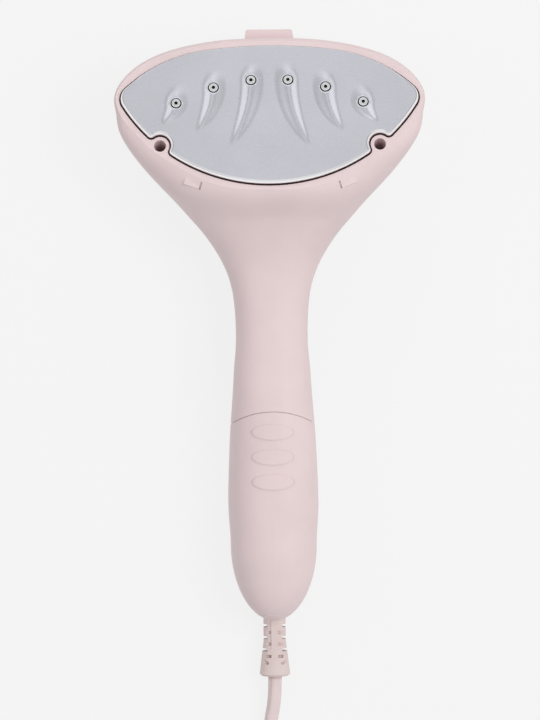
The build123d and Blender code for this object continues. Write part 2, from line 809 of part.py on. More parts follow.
with BuildPart() as rear_shell:
    add(rear_core)
    add(rear_posts)
    add(board_posts)
    add(tab_piece)
    with BuildSketch(PLATE.offset(WELL_SEAT)):
        with Locations(*WELLS):
            Circle(SCREW_R + FIT)
    extrude(amount=CASE_SCREW_END - WELL_SEAT - 1, mode=Mode.SUBTRACT)
    with BuildSketch(Plane.XY):
        with Locations((-NECK_SCREW_X, NECK_SCREW_Y), (NECK_SCREW_X, NECK_SCREW_Y)):
            Circle(WELL_R)
    extrude(amount=NECK_SCREW_SEAT, mode=Mode.SUBTRACT)
    with BuildSketch(Plane.XY):
        with Locations((-NECK_SCREW_X, NECK_SCREW_Y), (NECK_SCREW_X, NECK_SCREW_Y)):
            Circle(SCREW_R + 4 * FIT)
    extrude(amount=50, mode=Mode.SUBTRACT)
    with BuildSketch(Plane.XY.offset(DECK_Z)):
        with Locations(*SPINE_POSTS):
            Circle(SMALL_SCREW_R + FIT)
    extrude(amount=-DECK - SPINE_SCREW, mode=Mode.SUBTRACT)
    with BuildSketch(Plane.XY.offset(CORD_Z + 1)):
        with Locations((-CLAMP_SCREW_X, CLAMP_Y), (CLAMP_SCREW_X, CLAMP_Y)):
            Circle(SMALL_SCREW_R + FIT)
    extrude(amount=-CLAMP_SCREW - 1, mode=Mode.SUBTRACT)
    with BuildSketch(Plane.XY.offset(PUMP_POST_TOP + 1)):
        with Locations((0, PUMP_Y - PUMP_FOOT_Y), (0, PUMP_Y + PUMP_FOOT_Y)):
            Circle(SCREW_R + FIT)
    extrude(amount=-PUMP_SCREW - 1, mode=Mode.SUBTRACT)
    with BuildSketch(Plane.XY.offset(BOARD_Z + 1)):
        with Locations(*BOARD_POSTS):
            Circle(BOARD_SCREW_R + FIT)
    extrude(amount=-BOARD_SCREW - 1, mode=Mode.SUBTRACT)
    with BuildSketch(Plane.XY):
        with Locations(Location((0, STEAM_Y), 90)):
            SlotOverall(STEAM_LONG + 2 * BUTTON_GAP, STEAM_WIDE + 2 * BUTTON_GAP)
    extrude(amount=STEAM_SEAT + 1, mode=Mode.SUBTRACT)
    with BuildSketch(Plane.XY):
        with Locations((0, POWER_Y)):
            Circle(RING_R + FIT)
    extrude(amount=POWER_SEAT + 1, mode=Mode.SUBTRACT)
    with BuildSketch(along(RELIEF_INNER + 1)):
        with Locations((0, CORD_Z)):
            Circle(RELIEF_NECK_R + 2 * FIT)
    extrude(amount=40, mode=Mode.SUBTRACT)
    with BuildSketch(along(RELIEF_SEAT)):
        with Locations((0, CORD_Z)):
            Circle(RELIEF_R + 2 * BUTTON_GAP)
    extrude(amount=40, mode=Mode.SUBTRACT)
keep(rear_shell.part, "rear_shell")

# Spine cover with the tank's rail
deck_slice = body & slab(DECK_Z - DECK, DECK_Z) & span(-REACH, DECK_END)
with BuildPart() as spine_cover:
    add(deck_slice)
    with BuildSketch(Plane.XY.offset(DECK_Z)):
        with Locations((0, (RAIL_LOW_Y + RAIL_HIGH_Y) / 2)):
            Rectangle(RAIL_STEM, RAIL_HIGH_Y - RAIL_LOW_Y)
    extrude(amount=RAIL_STEM_TOP - DECK_Z)
    with BuildSketch(Plane.XY.offset(RAIL_STEM_TOP)):
        with Locations((0, (RAIL_LOW_Y + RAIL_HIGH_Y) / 2)):
            Rectangle(RAIL_HEAD, RAIL_HIGH_Y - RAIL_LOW_Y)
    extrude(amount=RAIL_TOP - RAIL_STEM_TOP)
    with BuildSketch(Plane.XY.offset(DECK_Z)):
        with Locations(*SPINE_POSTS):
            Circle(SMALL_HEAD_R + 2 * FIT)
    extrude(amount=-SMALL_HEAD, mode=Mode.SUBTRACT)
    with BuildSketch(Plane.XY.offset(DECK_Z)):
        with Locations(*SPINE_POSTS):
            Circle(SMALL_SCREW_R + 2 * FIT)
    extrude(amount=-DECK, mode=Mode.SUBTRACT)
keep(spine_cover.part, "spine_cover")

# Case and pump screws
with BuildPart() as case_screws:
    with BuildSketch(PLATE.offset(WELL_SEAT)):
        with Locations(*WELLS):
            Circle(SCREW_HEAD_R)
    extrude(amount=SCREW_HEAD)
    with BuildSketch(PLATE.offset(WELL_SEAT)):
        with Locations(*WELLS):
            Circle(SCREW_R)
    extrude(amount=CASE_SCREW_END - WELL_SEAT)
    with BuildSketch(Plane.XY.offset(NECK_SCREW_SEAT)):
        with Locations((-NECK_SCREW_X, NECK_SCREW_Y), (NECK_SCREW_X, NECK_SCREW_Y)):
            Circle(SCREW_HEAD_R)
    extrude(amount=-SCREW_HEAD)
    with BuildSketch(Plane.XY.offset(NECK_SCREW_SEAT)):
        with Locations((-NECK_SCREW_X, NECK_SCREW_Y), (NECK_SCREW_X, NECK_SCREW_Y)):
            Circle(SCREW_R)
    extrude(amount=NECK_SCREW_END - NECK_SCREW_SEAT)
    with BuildSketch(Plane.XY.offset(PUMP_BASE + PUMP_PLATE)):
        with Locations((0, PUMP_Y - PUMP_FOOT_Y), (0, PUMP_Y + PUMP_FOOT_Y)):
            Circle(SCREW_HEAD_R)
    extrude(amount=SCREW_HEAD - 0.6)
    with BuildSketch(Plane.XY.offset(PUMP_BASE + PUMP_PLATE)):
        with Locations((0, PUMP_Y - PUMP_FOOT_Y), (0, PUMP_Y + PUMP_FOOT_Y)):
            Circle(SCREW_R)
    extrude(amount=PUMP_POST_TOP - PUMP_SCREW + 0.5 - PUMP_BASE - PUMP_PLATE)
    with BuildSketch(PLATE.offset(WELL_SEAT + SCREW_HEAD)):
        with Locations(*WELLS):
            Rectangle(3.4, 0.8)
            Rectangle(0.8, 3.4)
    extrude(amount=-1.2, mode=Mode.SUBTRACT)
keep(case_screws.part, "case_screws")

# Small screws of the spine cover, cord clamp, tank dock and board
with BuildPart() as small_screws:
    with BuildSketch(Plane.XY.offset(DECK_Z - SMALL_HEAD)):
        with Locations(*SPINE_POSTS):
            Circle(SMALL_HEAD_R)
    extrude(amount=SMALL_HEAD - 2 * FIT)
    with BuildSketch(Plane.XY.offset(DECK_Z - SMALL_HEAD)):
        with Locations(*SPINE_POSTS):
            Circle(SMALL_SCREW_R)
    extrude(amount=-SPINE_SCREW)
    with BuildSketch(Plane.XY.offset(CLAMP_TOP)):
        with Locations((-CLAMP_SCREW_X, CLAMP_Y), (CLAMP_SCREW_X, CLAMP_Y)):
            Circle(SMALL_HEAD_R)
    extrude(amount=SMALL_HEAD)
    with BuildSketch(Plane.XY.offset(CLAMP_TOP)):
        with Locations((-CLAMP_SCREW_X, CLAMP_Y), (CLAMP_SCREW_X, CLAMP_Y)):
            Circle(SMALL_SCREW_R)
    extrude(amount=CORD_Z - CLAMP_TOP - CLAMP_SCREW + 0.5)
    with BuildSketch(along(DOCK_SEAT + DOCK_FLANGE)):
        with Locations((-DOCK_SCREW_X, OUTLET_Z), (DOCK_SCREW_X, OUTLET_Z)):
            Circle(SMALL_HEAD_R)
    extrude(amount=-SMALL_HEAD)
    with BuildSketch(along(DOCK_SEAT + DOCK_FLANGE)):
        with Locations((-DOCK_SCREW_X, OUTLET_Z), (DOCK_SCREW_X, OUTLET_Z)):
            Circle(SMALL_SCREW_R)
    extrude(amount=DOCK_FLANGE + DOCK_SCREW - 0.5)
    with BuildSketch(Plane.XY.offset(BOARD_TOP)):
        with Locations(*BOARD_POSTS):
            Circle(BOARD_SCREW_R + 0.9)
    extrude(amount=SMALL_HEAD)
    with BuildSketch(Plane.XY.offset(BOARD_TOP)):
        with Locations(*BOARD_POSTS):
            Circle(BOARD_SCREW_R)
    extrude(amount=0.5 - BOARD - BOARD_SCREW)
keep(small_screws.part, "small_screws")

# Soleplate with its ridges
with BuildPart() as soleplate:
    with BuildSketch(PLATE.offset(-SKIRT)):
        add(plate_face(0))
    extrude(amount=SKIRT + PLATE_PROUD)
    fillet(soleplate.faces().sort_by(Axis((0, 0, 0), OUT_OF_PLATE))[-1].edges(), ROLL_R)
    with BuildSketch(PLATE.offset(-SKIRT)):
        add(plate_face(-SHEET))
    extrude(amount=SKIRT + PLATE_PROUD - SHEET, mode=Mode.SUBTRACT)
    ridge_rows = [ridge for ridge in RIDGES for side in (-1, 1)]
    for (u, v), (rise, drop, top_lean, foot_lean) in zip(NOZZLES, ridge_rows):
        side = 1 if u > 0 else -1
        top = (u + side * top_lean, v + rise)
        foot = (u + side * foot_lean, v - drop)
        with BuildSketch(PLATE.offset(PLATE_PROUD)):
            with BuildLine():
                ThreePointArc(top, (u - RIDGE_HALF, v - RIDGE_BOW), foot)
                ThreePointArc(foot, (u + RIDGE_HALF, v - RIDGE_BOW), top)
            make_face()
        extrude(amount=RIDGE_HEIGHT)
    with BuildSketch(PLATE.offset(PLATE_PROUD + 1)):
        with Locations(*NOZZLES):
            Circle(NOZZLE_HEAD_R + 0.3)
    extrude(amount=-1, mode=Mode.SUBTRACT)
    with BuildSketch(PLATE.offset(PLATE_PROUD + 1)):
        with Locations(*NOZZLES):
            Circle(NOZZLE_R + FIT)
    extrude(amount=-5, mode=Mode.SUBTRACT)
keep(soleplate.part, "soleplate")

# Steam nozzles, riveted through the plate into the boiler
with BuildPart() as steam_nozzles:
    with BuildSketch(PLATE.offset(PLATE_PROUD)):
        with Locations(*NOZZLES):
            Circle(NOZZLE_HEAD_R)
    extrude(amount=NOZZLE_HEAD)
    heads = steam_nozzles.edges().filter_by(GeomType.CIRCLE).group_by(Axis((0, 0, 0), OUT_OF_PLATE))[-1]
    fillet(heads, NOZZLE_HEAD / 2)
    with BuildSketch(PLATE.offset(PLATE_PROUD)):
        with Locations(*NOZZLES):
            Circle(NOZZLE_R)
    extrude(amount=CHAMBER_TOP - PLATE_PROUD)
    with BuildSketch(PLATE.offset(PLATE_PROUD + NOZZLE_HEAD)):
        with Locations(*NOZZLES):
            Circle(NOZZLE_BORE_R)
    extrude(amount=-20, mode=Mode.SUBTRACT)
keep(steam_nozzles.part, "steam_nozzles")

# Seal in the gap round the plate, resting on the boiler flange
with BuildPart() as plate_seal:
    with BuildSketch(PLATE.offset(FLANGE_TOP)):
        add(plate_face(PLATE_GAP - FIT))
    extrude(amount=SEAL_HEIGHT)
    with BuildSketch(PLATE.offset(FLANGE_TOP)):
        add(plate_face(FIT))
    extrude(amount=SEAL_HEIGHT, mode=Mode.SUBTRACT)
keep(plate_seal.part, "plate_seal")

# Boiler block with its steam chamber and heater groove
arc_start = 90 - CHAMBER_SWEEP
arc_centre = (0, NOZZLE_V - NOZZLE_ARC_R)
heater_arc_r = NOZZLE_ARC_R - HEATER_IN
heater_sweep = degrees(asin(HEATER_HALF / heater_arc_r))
heater_end_v = arc_centre[1] + heater_arc_r * cos(radians(heater_sweep))
HEATER_ENDS = [(-HEATER_HALF, heater_end_v), (HEATER_HALF, heater_end_v)]
chamber_arc = CenterArc(arc_centre, NOZZLE_ARC_R, arc_start, 2 * CHAMBER_SWEEP)
heater_arc = CenterArc(arc_centre, heater_arc_r, 90 - heater_sweep, 2 * heater_sweep)
with BuildPart() as lugs:
    with BuildSketch(PLATE.offset(BLOCK_FOOT)):
        with Locations((-LUG_X, LUG_V), (LUG_X, LUG_V)):
            Circle(LUG_R)
        with Locations((-LUG_X, LUG_V + 4), (LUG_X, LUG_V + 4)):
            Rectangle(2 * LUG_R, 8)
    extrude(amount=FLANGE_FOOT - BLOCK_FOOT)
    with BuildSketch(PLATE.offset(FLANGE_FOOT)):
        with Locations((0, PLATE_CROWN)):
            Rectangle(2 * EAR_HALF - 8, 10)
    extrude(amount=FLANGE_TOP - FLANGE_FOOT)
lug_pieces = lugs.part & clear_form
with BuildPart() as boiler_block:
    with BuildSketch(PLATE.offset(FLANGE_TOP)):
        add(plate_face(-SHEET - 2 * FIT))
    extrude(amount=PLATE_PROUD - SHEET - FLANGE_TOP)
    with BuildSketch(PLATE.offset(FLANGE_FOOT)):
        add(plate_face(FLANGE_GROW))
    extrude(amount=FLANGE_TOP - FLANGE_FOOT)
    with BuildSketch(PLATE.offset(BLOCK_FOOT)):
        add(plate_face(-3))
    extrude(amount=FLANGE_FOOT - BLOCK_FOOT)
    add(lug_pieces)
    with BuildSketch(PLATE.offset(BLOCK_FOOT)):
        SlotArc(chamber_arc, CHAMBER_WIDTH)
    extrude(amount=CHAMBER_TOP - BLOCK_FOOT, mode=Mode.SUBTRACT)
    with BuildSketch(PLATE.offset(BLOCK_FOOT)):
        SlotArc(heater_arc, 2 * (HEATER_R + FIT))
    extrude(amount=HEATER_TOP - BLOCK_FOOT, mode=Mode.SUBTRACT)
    with BuildSketch(PLATE.offset(PLATE_PROUD)):
        with Locations(*NOZZLES):
            Circle(NOZZLE_R + FIT)
    extrude(amount=-20, mode=Mode.SUBTRACT)
    with BuildSketch(PLATE.offset(BLOCK_FOOT)):
        with Locations(*COVER_SCREWS, *STAT_SCREWS):
            Circle(SMALL_SCREW_R + FIT)
    extrude(amount=COVER_SCREW, mode=Mode.SUBTRACT)
    with BuildSketch(PLATE.offset(BLOCK_FOOT - 1)):
        with Locations((-LUG_X, LUG_V), (LUG_X, LUG_V)):
            Circle(SMALL_SCREW_R + 2 * FIT)
    extrude(amount=8, mode=Mode.SUBTRACT)
keep(boiler_block.part, "boiler_block")

# Heating element in its groove, with terminals at both ends
with BuildPart() as heating_element:
    with BuildLine(PLATE.offset(HEATER_TOP - HEATER_R)) as heater_path:
        CenterArc(arc_centre, heater_arc_r, 90 - heater_sweep, 2 * heater_sweep)
    with BuildSketch(Plane(origin=heater_path.line @ 0, z_dir=heater_path.line % 0)):
        Circle(HEATER_R)
    sweep(path=heater_path.line)
    with BuildSketch(PLATE.offset(HEATER_TOP - HEATER_R)):
        with Locations(*HEATER_ENDS):
            Circle(HEATER_R)
    extrude(amount=HEATER_LEG - HEATER_TOP + HEATER_R)
    with Locations(*[on_plate(u, v, HEATER_TOP - HEATER_R) for u, v in HEATER_ENDS]):
        Sphere(HEATER_R)
    with BuildSketch(PLATE.offset(HEATER_LEG)):
        with Locations(*HEATER_ENDS):
            Circle(HEATER_PIN_R)
    extrude(amount=HEATER_PIN - HEATER_LEG)
keep(heating_element.part, "heating_element")

# Boiler gasket and cover
with BuildPart() as boiler_gasket:
    with BuildSketch(PLATE.offset(BLOCK_FOOT - GASKET)):
        SlotArc(chamber_arc, COVER_WIDTH)
        SlotArc(chamber_arc, CHAMBER_WIDTH, mode=Mode.SUBTRACT)
        with Locations(*COVER_SCREWS):
            Circle(SMALL_SCREW_R + 2 * FIT, mode=Mode.SUBTRACT)
    extrude(amount=GASKET)
keep(boiler_gasket.part, "boiler_gasket")

with BuildPart() as boiler_cover:
    with BuildSketch(PLATE.offset(COVER_FOOT)):
        SlotArc(chamber_arc, COVER_WIDTH)
        with Locations(*COVER_SCREWS):
            Circle(SMALL_SCREW_R + 2 * FIT, mode=Mode.SUBTRACT)
    extrude(amount=COVER)
    with BuildSketch(PLATE.offset(COVER_FOOT)):
        with Locations(INLET):
            Circle(BARB_R + 2)
    extrude(amount=-2)
    with BuildSketch(PLATE.offset(COVER_FOOT)):
        with Locations(INLET):
            Circle(BARB_R)
    extrude(amount=-INLET_LONG)
    with BuildSketch(PLATE.offset(COVER_FOOT - INLET_LONG)):
        with Locations(INLET):
            Circle(BARB_BORE_R)
    extrude(amount=INLET_LONG + COVER, mode=Mode.SUBTRACT)
keep(boiler_cover.part, "boiler_cover")

# Screws of the boiler cover, thermostat and boiler lugs
with BuildPart() as boiler_screws:
    with BuildSketch(PLATE.offset(COVER_FOOT)):
        with Locations(*COVER_SCREWS):
            Circle(SMALL_HEAD_R)
    extrude(amount=-SMALL_HEAD)
    with BuildSketch(PLATE.offset(COVER_FOOT)):
        with Locations(*COVER_SCREWS):
            Circle(SMALL_SCREW_R)
    extrude(amount=COVER + GASKET + COVER_SCREW - 0.5)
    with BuildSketch(PLATE.offset(BLOCK_FOOT - STAT_FLANGE)):
        with Locations(*STAT_SCREWS):
            Circle(SMALL_HEAD_R)
    extrude(amount=-SMALL_HEAD)
    with BuildSketch(PLATE.offset(BLOCK_FOOT - STAT_FLANGE)):
        with Locations(*STAT_SCREWS):
            Circle(SMALL_SCREW_R)
    extrude(amount=STAT_FLANGE + COVER_SCREW - 0.5)
    with BuildSketch(PLATE.offset(BLOCK_FOOT)):
        with Locations((-LUG_X, LUG_V), (LUG_X, LUG_V)):
            Circle(SMALL_HEAD_R)
    extrude(amount=-SMALL_HEAD)
    with BuildSketch(PLATE.offset(BLOCK_FOOT)):
        with Locations((-LUG_X, LUG_V), (LUG_X, LUG_V)):
            Circle(SMALL_SCREW_R)
    extrude(amount=FLANGE_FOOT - BLOCK_FOOT + LUG_SCREW - 0.5)
keep(boiler_screws.part, "boiler_screws")

# Thermostat and thermal fuse on the boiler's back
with BuildPart() as thermostat:
    with BuildSketch(PLATE.offset(BLOCK_FOOT)):
        with Locations((0, STAT_V)):
            SlotOverall(2 * STAT_SCREW_X + 6, 7)
        with Locations(*STAT_SCREWS):
            Circle(SMALL_SCREW_R + 2 * FIT, mode=Mode.SUBTRACT)
    extrude(amount=-STAT_FLANGE)
    with BuildSketch(PLATE.offset(BLOCK_FOOT)):
        with Locations((0, STAT_V)):
            Circle(STAT_R)
    extrude(amount=-STAT_HIGH)
    with BuildSketch(PLATE.offset(BLOCK_FOOT - STAT_HIGH)):
        with Locations((-4, STAT_V), (4, STAT_V)):
            Rectangle(0.8, 4.8)
    extrude(amount=-6)
keep(thermostat.part, "thermostat")

with BuildPart() as fuse_clip:
    with BuildSketch(PLATE.offset(BLOCK_FOOT)):
        with Locations((FUSE_U, FUSE_V)):
            Rectangle(6, 9)
    extrude(amount=-2 * FUSE_R - 1)
    with BuildSketch(Plane(origin=on_plate(FUSE_U - 4, FUSE_V, BLOCK_FOOT - FUSE_R), z_dir=(1, 0, 0))):
        Circle(FUSE_R + FIT)
    extrude(amount=8, mode=Mode.SUBTRACT)
keep(fuse_clip.part, "fuse_clip")

with BuildPart() as thermal_fuse:
    with BuildSketch(Plane(origin=on_plate(FUSE_U - 7, FUSE_V, BLOCK_FOOT - FUSE_R), z_dir=(1, 0, 0))):
        Circle(FUSE_R)
    extrude(amount=14)
    with BuildSketch(Plane(origin=on_plate(FUSE_U - 12, FUSE_V, BLOCK_FOOT - FUSE_R), z_dir=(1, 0, 0))):
        Circle(0.6)
    extrude(amount=24)
keep(thermal_fuse.part, "thermal_fuse")

# Pump frame, coil, tube, piston and mounts
with BuildPart() as pump_frame:
    with BuildSketch(Plane.XY.offset(PUMP_BASE)):
        with Locations((0, PUMP_Y)):
            Rectangle(2 * (PUMP_HALF + PUMP_PLATE), 2 * PUMP_SIDE)
            Rectangle(12, 2 * (PUMP_FOOT_Y + 5))
        with Locations((0, PUMP_Y - PUMP_FOOT_Y), (0, PUMP_Y + PUMP_FOOT_Y)):
            Circle(SCREW_R + 2 * FIT, mode=Mode.SUBTRACT)
    extrude(amount=PUMP_PLATE)
    with BuildSketch(Plane.XY.offset(PUMP_BASE)):
        with Locations((-PUMP_HALF - PUMP_PLATE / 2, PUMP_Y), (PUMP_HALF + PUMP_PLATE / 2, PUMP_Y)):
            Rectangle(PUMP_PLATE, 2 * PUMP_SIDE)
    extrude(amount=PUMP_Z + PUMP_SIDE - PUMP_BASE)
    with BuildSketch(Plane.YZ.offset(-PUMP_HALF - 5)):
        with Locations((PUMP_Y, PUMP_Z)):
            Circle(PUMP_TUBE_R + FIT)
    extrude(amount=2 * PUMP_HALF + 10, mode=Mode.SUBTRACT)
keep(pump_frame.part, "pump_frame")

with BuildPart() as pump_coil:
    with BuildSketch(Plane.YZ.offset(-PUMP_HALF)):
        with Locations((PUMP_Y, PUMP_Z)):
            Circle(COIL_R)
            Circle(PUMP_TUBE_R + FIT, mode=Mode.SUBTRACT)
    extrude(amount=2 * PUMP_HALF)
    with BuildSketch(Plane.YZ.offset(-PUMP_HALF + 2)):
        with Locations((PUMP_Y, PUMP_Z)):
            Circle(COIL_R)
            Circle(COIL_R - 1.5, mode=Mode.SUBTRACT)
    extrude(amount=2 * PUMP_HALF - 4, mode=Mode.SUBTRACT)
keep(pump_coil.part, "pump_coil")

with BuildPart() as pump_tube:
    with BuildSketch(Plane.YZ.offset(-PUMP_TUBE_HALF)):
        with Locations((PUMP_Y, PUMP_Z)):
            Circle(PUMP_TUBE_R)
    extrude(amount=2 * PUMP_TUBE_HALF)
    with BuildSketch(Plane.YZ.offset(-PUMP_HALF - PUMP_PLATE)):
        with Locations((PUMP_Y, PUMP_Z)):
            Circle(PUMP_TUBE_R + 2)
    extrude(amount=-2)
    with BuildSketch(Plane.YZ.offset(-PUMP_BARB_HALF)):
        with Locations((PUMP_Y, PUMP_Z)):
            Circle(BARB_R)
    extrude(amount=2 * PUMP_BARB_HALF)
    with BuildSketch(Plane.YZ.offset(-PUMP_BARB_HALF)):
        with Locations((PUMP_Y, PUMP_Z)):
            Circle(BARB_BORE_R)
    extrude(amount=2 * PUMP_BARB_HALF, mode=Mode.SUBTRACT)
    with BuildSketch(Plane.YZ.offset(PISTON_X)):
        with Locations((PUMP_Y, PUMP_Z)):
            Circle(PUMP_BORE_R)
    extrude(amount=PISTON_LONG + PISTON_ROOM, mode=Mode.SUBTRACT)
keep(pump_tube.part, "pump_tube")

with BuildPart() as pump_piston:
    with BuildSketch(Plane.YZ.offset(PISTON_X)):
        with Locations((PUMP_Y, PUMP_Z)):
            Circle(PUMP_BORE_R - FIT)
            Circle(0.9, mode=Mode.SUBTRACT)
    extrude(amount=PISTON_LONG)
keep(pump_piston.part, "pump_piston")

with BuildPart() as pump_mounts:
    with BuildSketch(Plane.XY.offset(PUMP_POST_TOP)):
        with Locations((0, PUMP_Y - PUMP_FOOT_Y), (0, PUMP_Y + PUMP_FOOT_Y)):
            Circle(PUMP_POST_R)
            Circle(SCREW_R + 2 * FIT, mode=Mode.SUBTRACT)
    extrude(amount=PUMP_MOUNT)
keep(pump_mounts.part, "pump_mounts")

# Tank dock in the neck, its flange clear of the shell's inside
with BuildPart() as dock_flange:
    with BuildSketch(along(DOCK_SEAT)):
        with Locations((0, OUTLET_Z)):
            SlotOverall(DOCK_LONG - 1, DOCK_WIDE - 1)
        with Locations((-DOCK_SCREW_X, OUTLET_Z), (DOCK_SCREW_X, OUTLET_Z)):
            Circle(SMALL_SCREW_R + 2 * FIT, mode=Mode.SUBTRACT)
    extrude(amount=-DOCK_FLANGE)
flange_piece = dock_flange.part & clear_form
with BuildPart() as tank_dock:
    add(flange_piece)
    with BuildSketch(along(DOCK_SEAT)):
        with Locations((0, OUTLET_Z)):
            Circle(DOCK_TUBE_R)
            Circle(DOCK_BORE_R, mode=Mode.SUBTRACT)
    extrude(amount=DOCK_SEAT - DOCK_MOUTH)
    with BuildSketch(along(DOCK_SEAT + DOCK_FLANGE)):
        with Locations((0, OUTLET_Z)):
            Circle(BARB_R)
    extrude(amount=DOCK_SEAT + DOCK_FLANGE - DOCK_BARB_END)
    with BuildSketch(along(DOCK_BARB_END)):
        with Locations((0, OUTLET_Z)):
            Circle(BARB_BORE_R)
    extrude(amount=DOCK_BARB_END - DOCK_MOUTH, mode=Mode.SUBTRACT)
keep(tank_dock.part, "tank_dock")

# Hoses from the dock to the pump and from the pump to the boiler
pump_in = (-PUMP_TUBE_HALF - 1, PUMP_Y, PUMP_Z)
pump_out = (PUMP_TUBE_HALF + 1, PUMP_Y, PUMP_Z)
inlet_points = [
    (0, DOCK_SEAT + DOCK_FLANGE + 1, OUTLET_Z), (0, DOCK_BARB_END, OUTLET_Z),
    (HOSE_X, BOARD_LOW, OUTLET_Z + 2), (HOSE_X, 36, OUTLET_Z + 4), (-19, 55, 36), (-38, 66, 32),
    (-HOSE_OUT, PUMP_Y - 10, PUMP_Z + 1), (-HOSE_OUT, PUMP_Y, PUMP_Z), pump_in,
]
outlet_points = [
    pump_out, (HOSE_OUT, PUMP_Y, PUMP_Z), (HOSE_OUT, PUMP_Y + 14, PUMP_Z),
    on_plate(INLET[0], INLET[1], COVER_FOOT - INLET_LONG - 8), on_plate(INLET[0], INLET[1], COVER_FOOT - 3),
]
with BuildPart() as inlet_hose:
    with BuildLine() as inlet_path:
        FilletPolyline(*inlet_points, radius=HOSE_BEND)
    with BuildSketch(Plane(origin=inlet_path.line @ 0, z_dir=inlet_path.line % 0)):
        Circle(HOSE_R)
        Circle(BARB_R, mode=Mode.SUBTRACT)
    sweep(path=inlet_path.line)
keep(inlet_hose.part, "inlet_hose")

with BuildPart() as outlet_hose:
    with BuildLine() as outlet_path:
        FilletPolyline(*outlet_points, radius=HOSE_BEND)
    with BuildSketch(Plane(origin=outlet_path.line @ 0, z_dir=outlet_path.line % 0)):
        Circle(HOSE_R)
        Circle(BARB_R, mode=Mode.SUBTRACT)
    sweep(path=outlet_path.line)
keep(outlet_hose.part, "outlet_hose")

# Control board and what is soldered to it
with BuildPart() as control_board:
    with BuildSketch(Plane.XY.offset(BOARD_Z)):
        with Locations((0, (BOARD_LOW + BOARD_HIGH) / 2)):
            Rectangle(2 * BOARD_HALF, BOARD_HIGH - BOARD_LOW)
        with Locations(*BOARD_POSTS):
            Circle(BOARD_SCREW_R + 2 * FIT, mode=Mode.SUBTRACT)
    extrude(amount=BOARD)
keep(control_board.part, "control_board")

with BuildPart() as board_parts:
    with BuildSketch(Plane.XY.offset(BOARD_TOP)):
        with Locations((1.8, -7)):
            Rectangle(8.6, 10)
    extrude(amount=8)
    with BuildSketch(Plane.XY.offset(BOARD_TOP)):
        with Locations((0, 49)):
            Rectangle(13, 7)
    extrude(amount=6.5)
    with BuildSketch(Plane.XY.offset(BOARD_TOP)):
        with Locations((6, 10)):
            Circle(4)
    extrude(amount=11)
    with BuildSketch(Plane.XY.offset(BOARD_TOP)):
        with Locations((-6, 14)):
            Rectangle(5, 5)
        with Locations((-6, 4), (-6, 26)):
            Rectangle(4, 6)
    extrude(amount=1.4)
keep(board_parts.part, "board_parts")

with BuildPart() as relay:
    with BuildSketch(Plane.XY.offset(BOARD_TOP)):
        with Locations((6, 31)):
            Rectangle(9, 18)
    extrude(amount=13)
    fillet(relay.edges().filter_by(Axis.Z), 0.6)
keep(relay.part, "relay")

# Steam button on the back of the neck, its switch and spring
with BuildPart() as steam_button:
    with BuildSketch(Plane.XY.offset(STEAM_LOW)):
        with Locations(Location((0, STEAM_Y), 90)):
            SlotOverall(STEAM_LONG, STEAM_WIDE)
    extrude(amount=STEAM_SEAT - STEAM_LOW)
    fillet(steam_button.faces().sort_by(Axis.Z)[0].edges(), 1.5)
    with BuildSketch(Plane.XY.offset(STEAM_SEAT)):
        with Locations(Location((0, STEAM_Y), 90)):
            SlotOverall(STEAM_LONG + 2 * FLANGE_REACH, STEAM_WIDE + 2 * FLANGE_REACH)
    extrude(amount=BUTTON_FLANGE)
    with BuildSketch(Plane.XY.offset(STEAM_SEAT)):
        with Locations((0, STEAM_Y)):
            Circle(STEM_R)
    extrude(amount=PLUNGER_LOW - STEAM_SEAT)
keep(steam_button.part, "steam_button")

with BuildPart() as power_button:
    with BuildSketch(Plane.XY.offset(POWER_LOW)):
        with Locations((0, POWER_Y)):
            Circle(POWER_R)
    extrude(amount=POWER_SEAT + RING_FLANGE - POWER_LOW)
    fillet(power_button.faces().sort_by(Axis.Z)[0].edges(), 1.0)
    with BuildSketch(Plane.XY.offset(POWER_SEAT + RING_FLANGE)):
        with Locations((0, POWER_Y)):
            Circle(POWER_R + FLANGE_REACH)
    extrude(amount=BUTTON_FLANGE)
    with BuildSketch(Plane.XY.offset(POWER_SEAT + RING_FLANGE)):
        with Locations((0, POWER_Y)):
            Circle(STEM_R)
    extrude(amount=PLUNGER_LOW - POWER_SEAT - RING_FLANGE)
keep(power_button.part, "power_button")

ring_blank = rod((0, POWER_Y, 0), (0, 0, 1), RING_R, POWER_SEAT) & outer_form
with BuildPart() as light_ring:
    add(ring_blank)
    with BuildSketch(Plane.XY.offset(POWER_SEAT)):
        with Locations((0, POWER_Y)):
            Circle(RING_FLANGE_R)
    extrude(amount=RING_FLANGE)
    with BuildSketch(Plane.XY):
        with Locations((0, POWER_Y)):
            Circle(POWER_R + BUTTON_GAP)
    extrude(amount=POWER_SEAT + RING_FLANGE, mode=Mode.SUBTRACT)
keep(light_ring.part, "light_ring")

with BuildPart() as steam_switch:
    with BuildSketch(Plane.XY.offset(SWITCH_LOW)):
        with Locations((0, STEAM_Y)):
            Rectangle(SWITCH_SIDE, SWITCH_SIDE)
    extrude(amount=BOARD_Z - SWITCH_LOW)
    with BuildSketch(Plane.XY.offset(SWITCH_LOW)):
        with Locations((0, STEAM_Y)):
            Circle(PLUNGER_R + FIT)
    extrude(amount=SWITCH_WELL - SWITCH_LOW, mode=Mode.SUBTRACT)
keep(steam_switch.part, "steam_switch")

with BuildPart() as power_switch:
    with BuildSketch(Plane.XY.offset(SWITCH_LOW)):
        with Locations((0, POWER_Y)):
            Rectangle(SWITCH_SIDE, SWITCH_SIDE)
    extrude(amount=BOARD_Z - SWITCH_LOW)
    with BuildSketch(Plane.XY.offset(SWITCH_LOW)):
        with Locations((0, POWER_Y)):
            Circle(PLUNGER_R + FIT)
    extrude(amount=SWITCH_WELL - SWITCH_LOW, mode=Mode.SUBTRACT)
keep(power_switch.part, "power_switch")

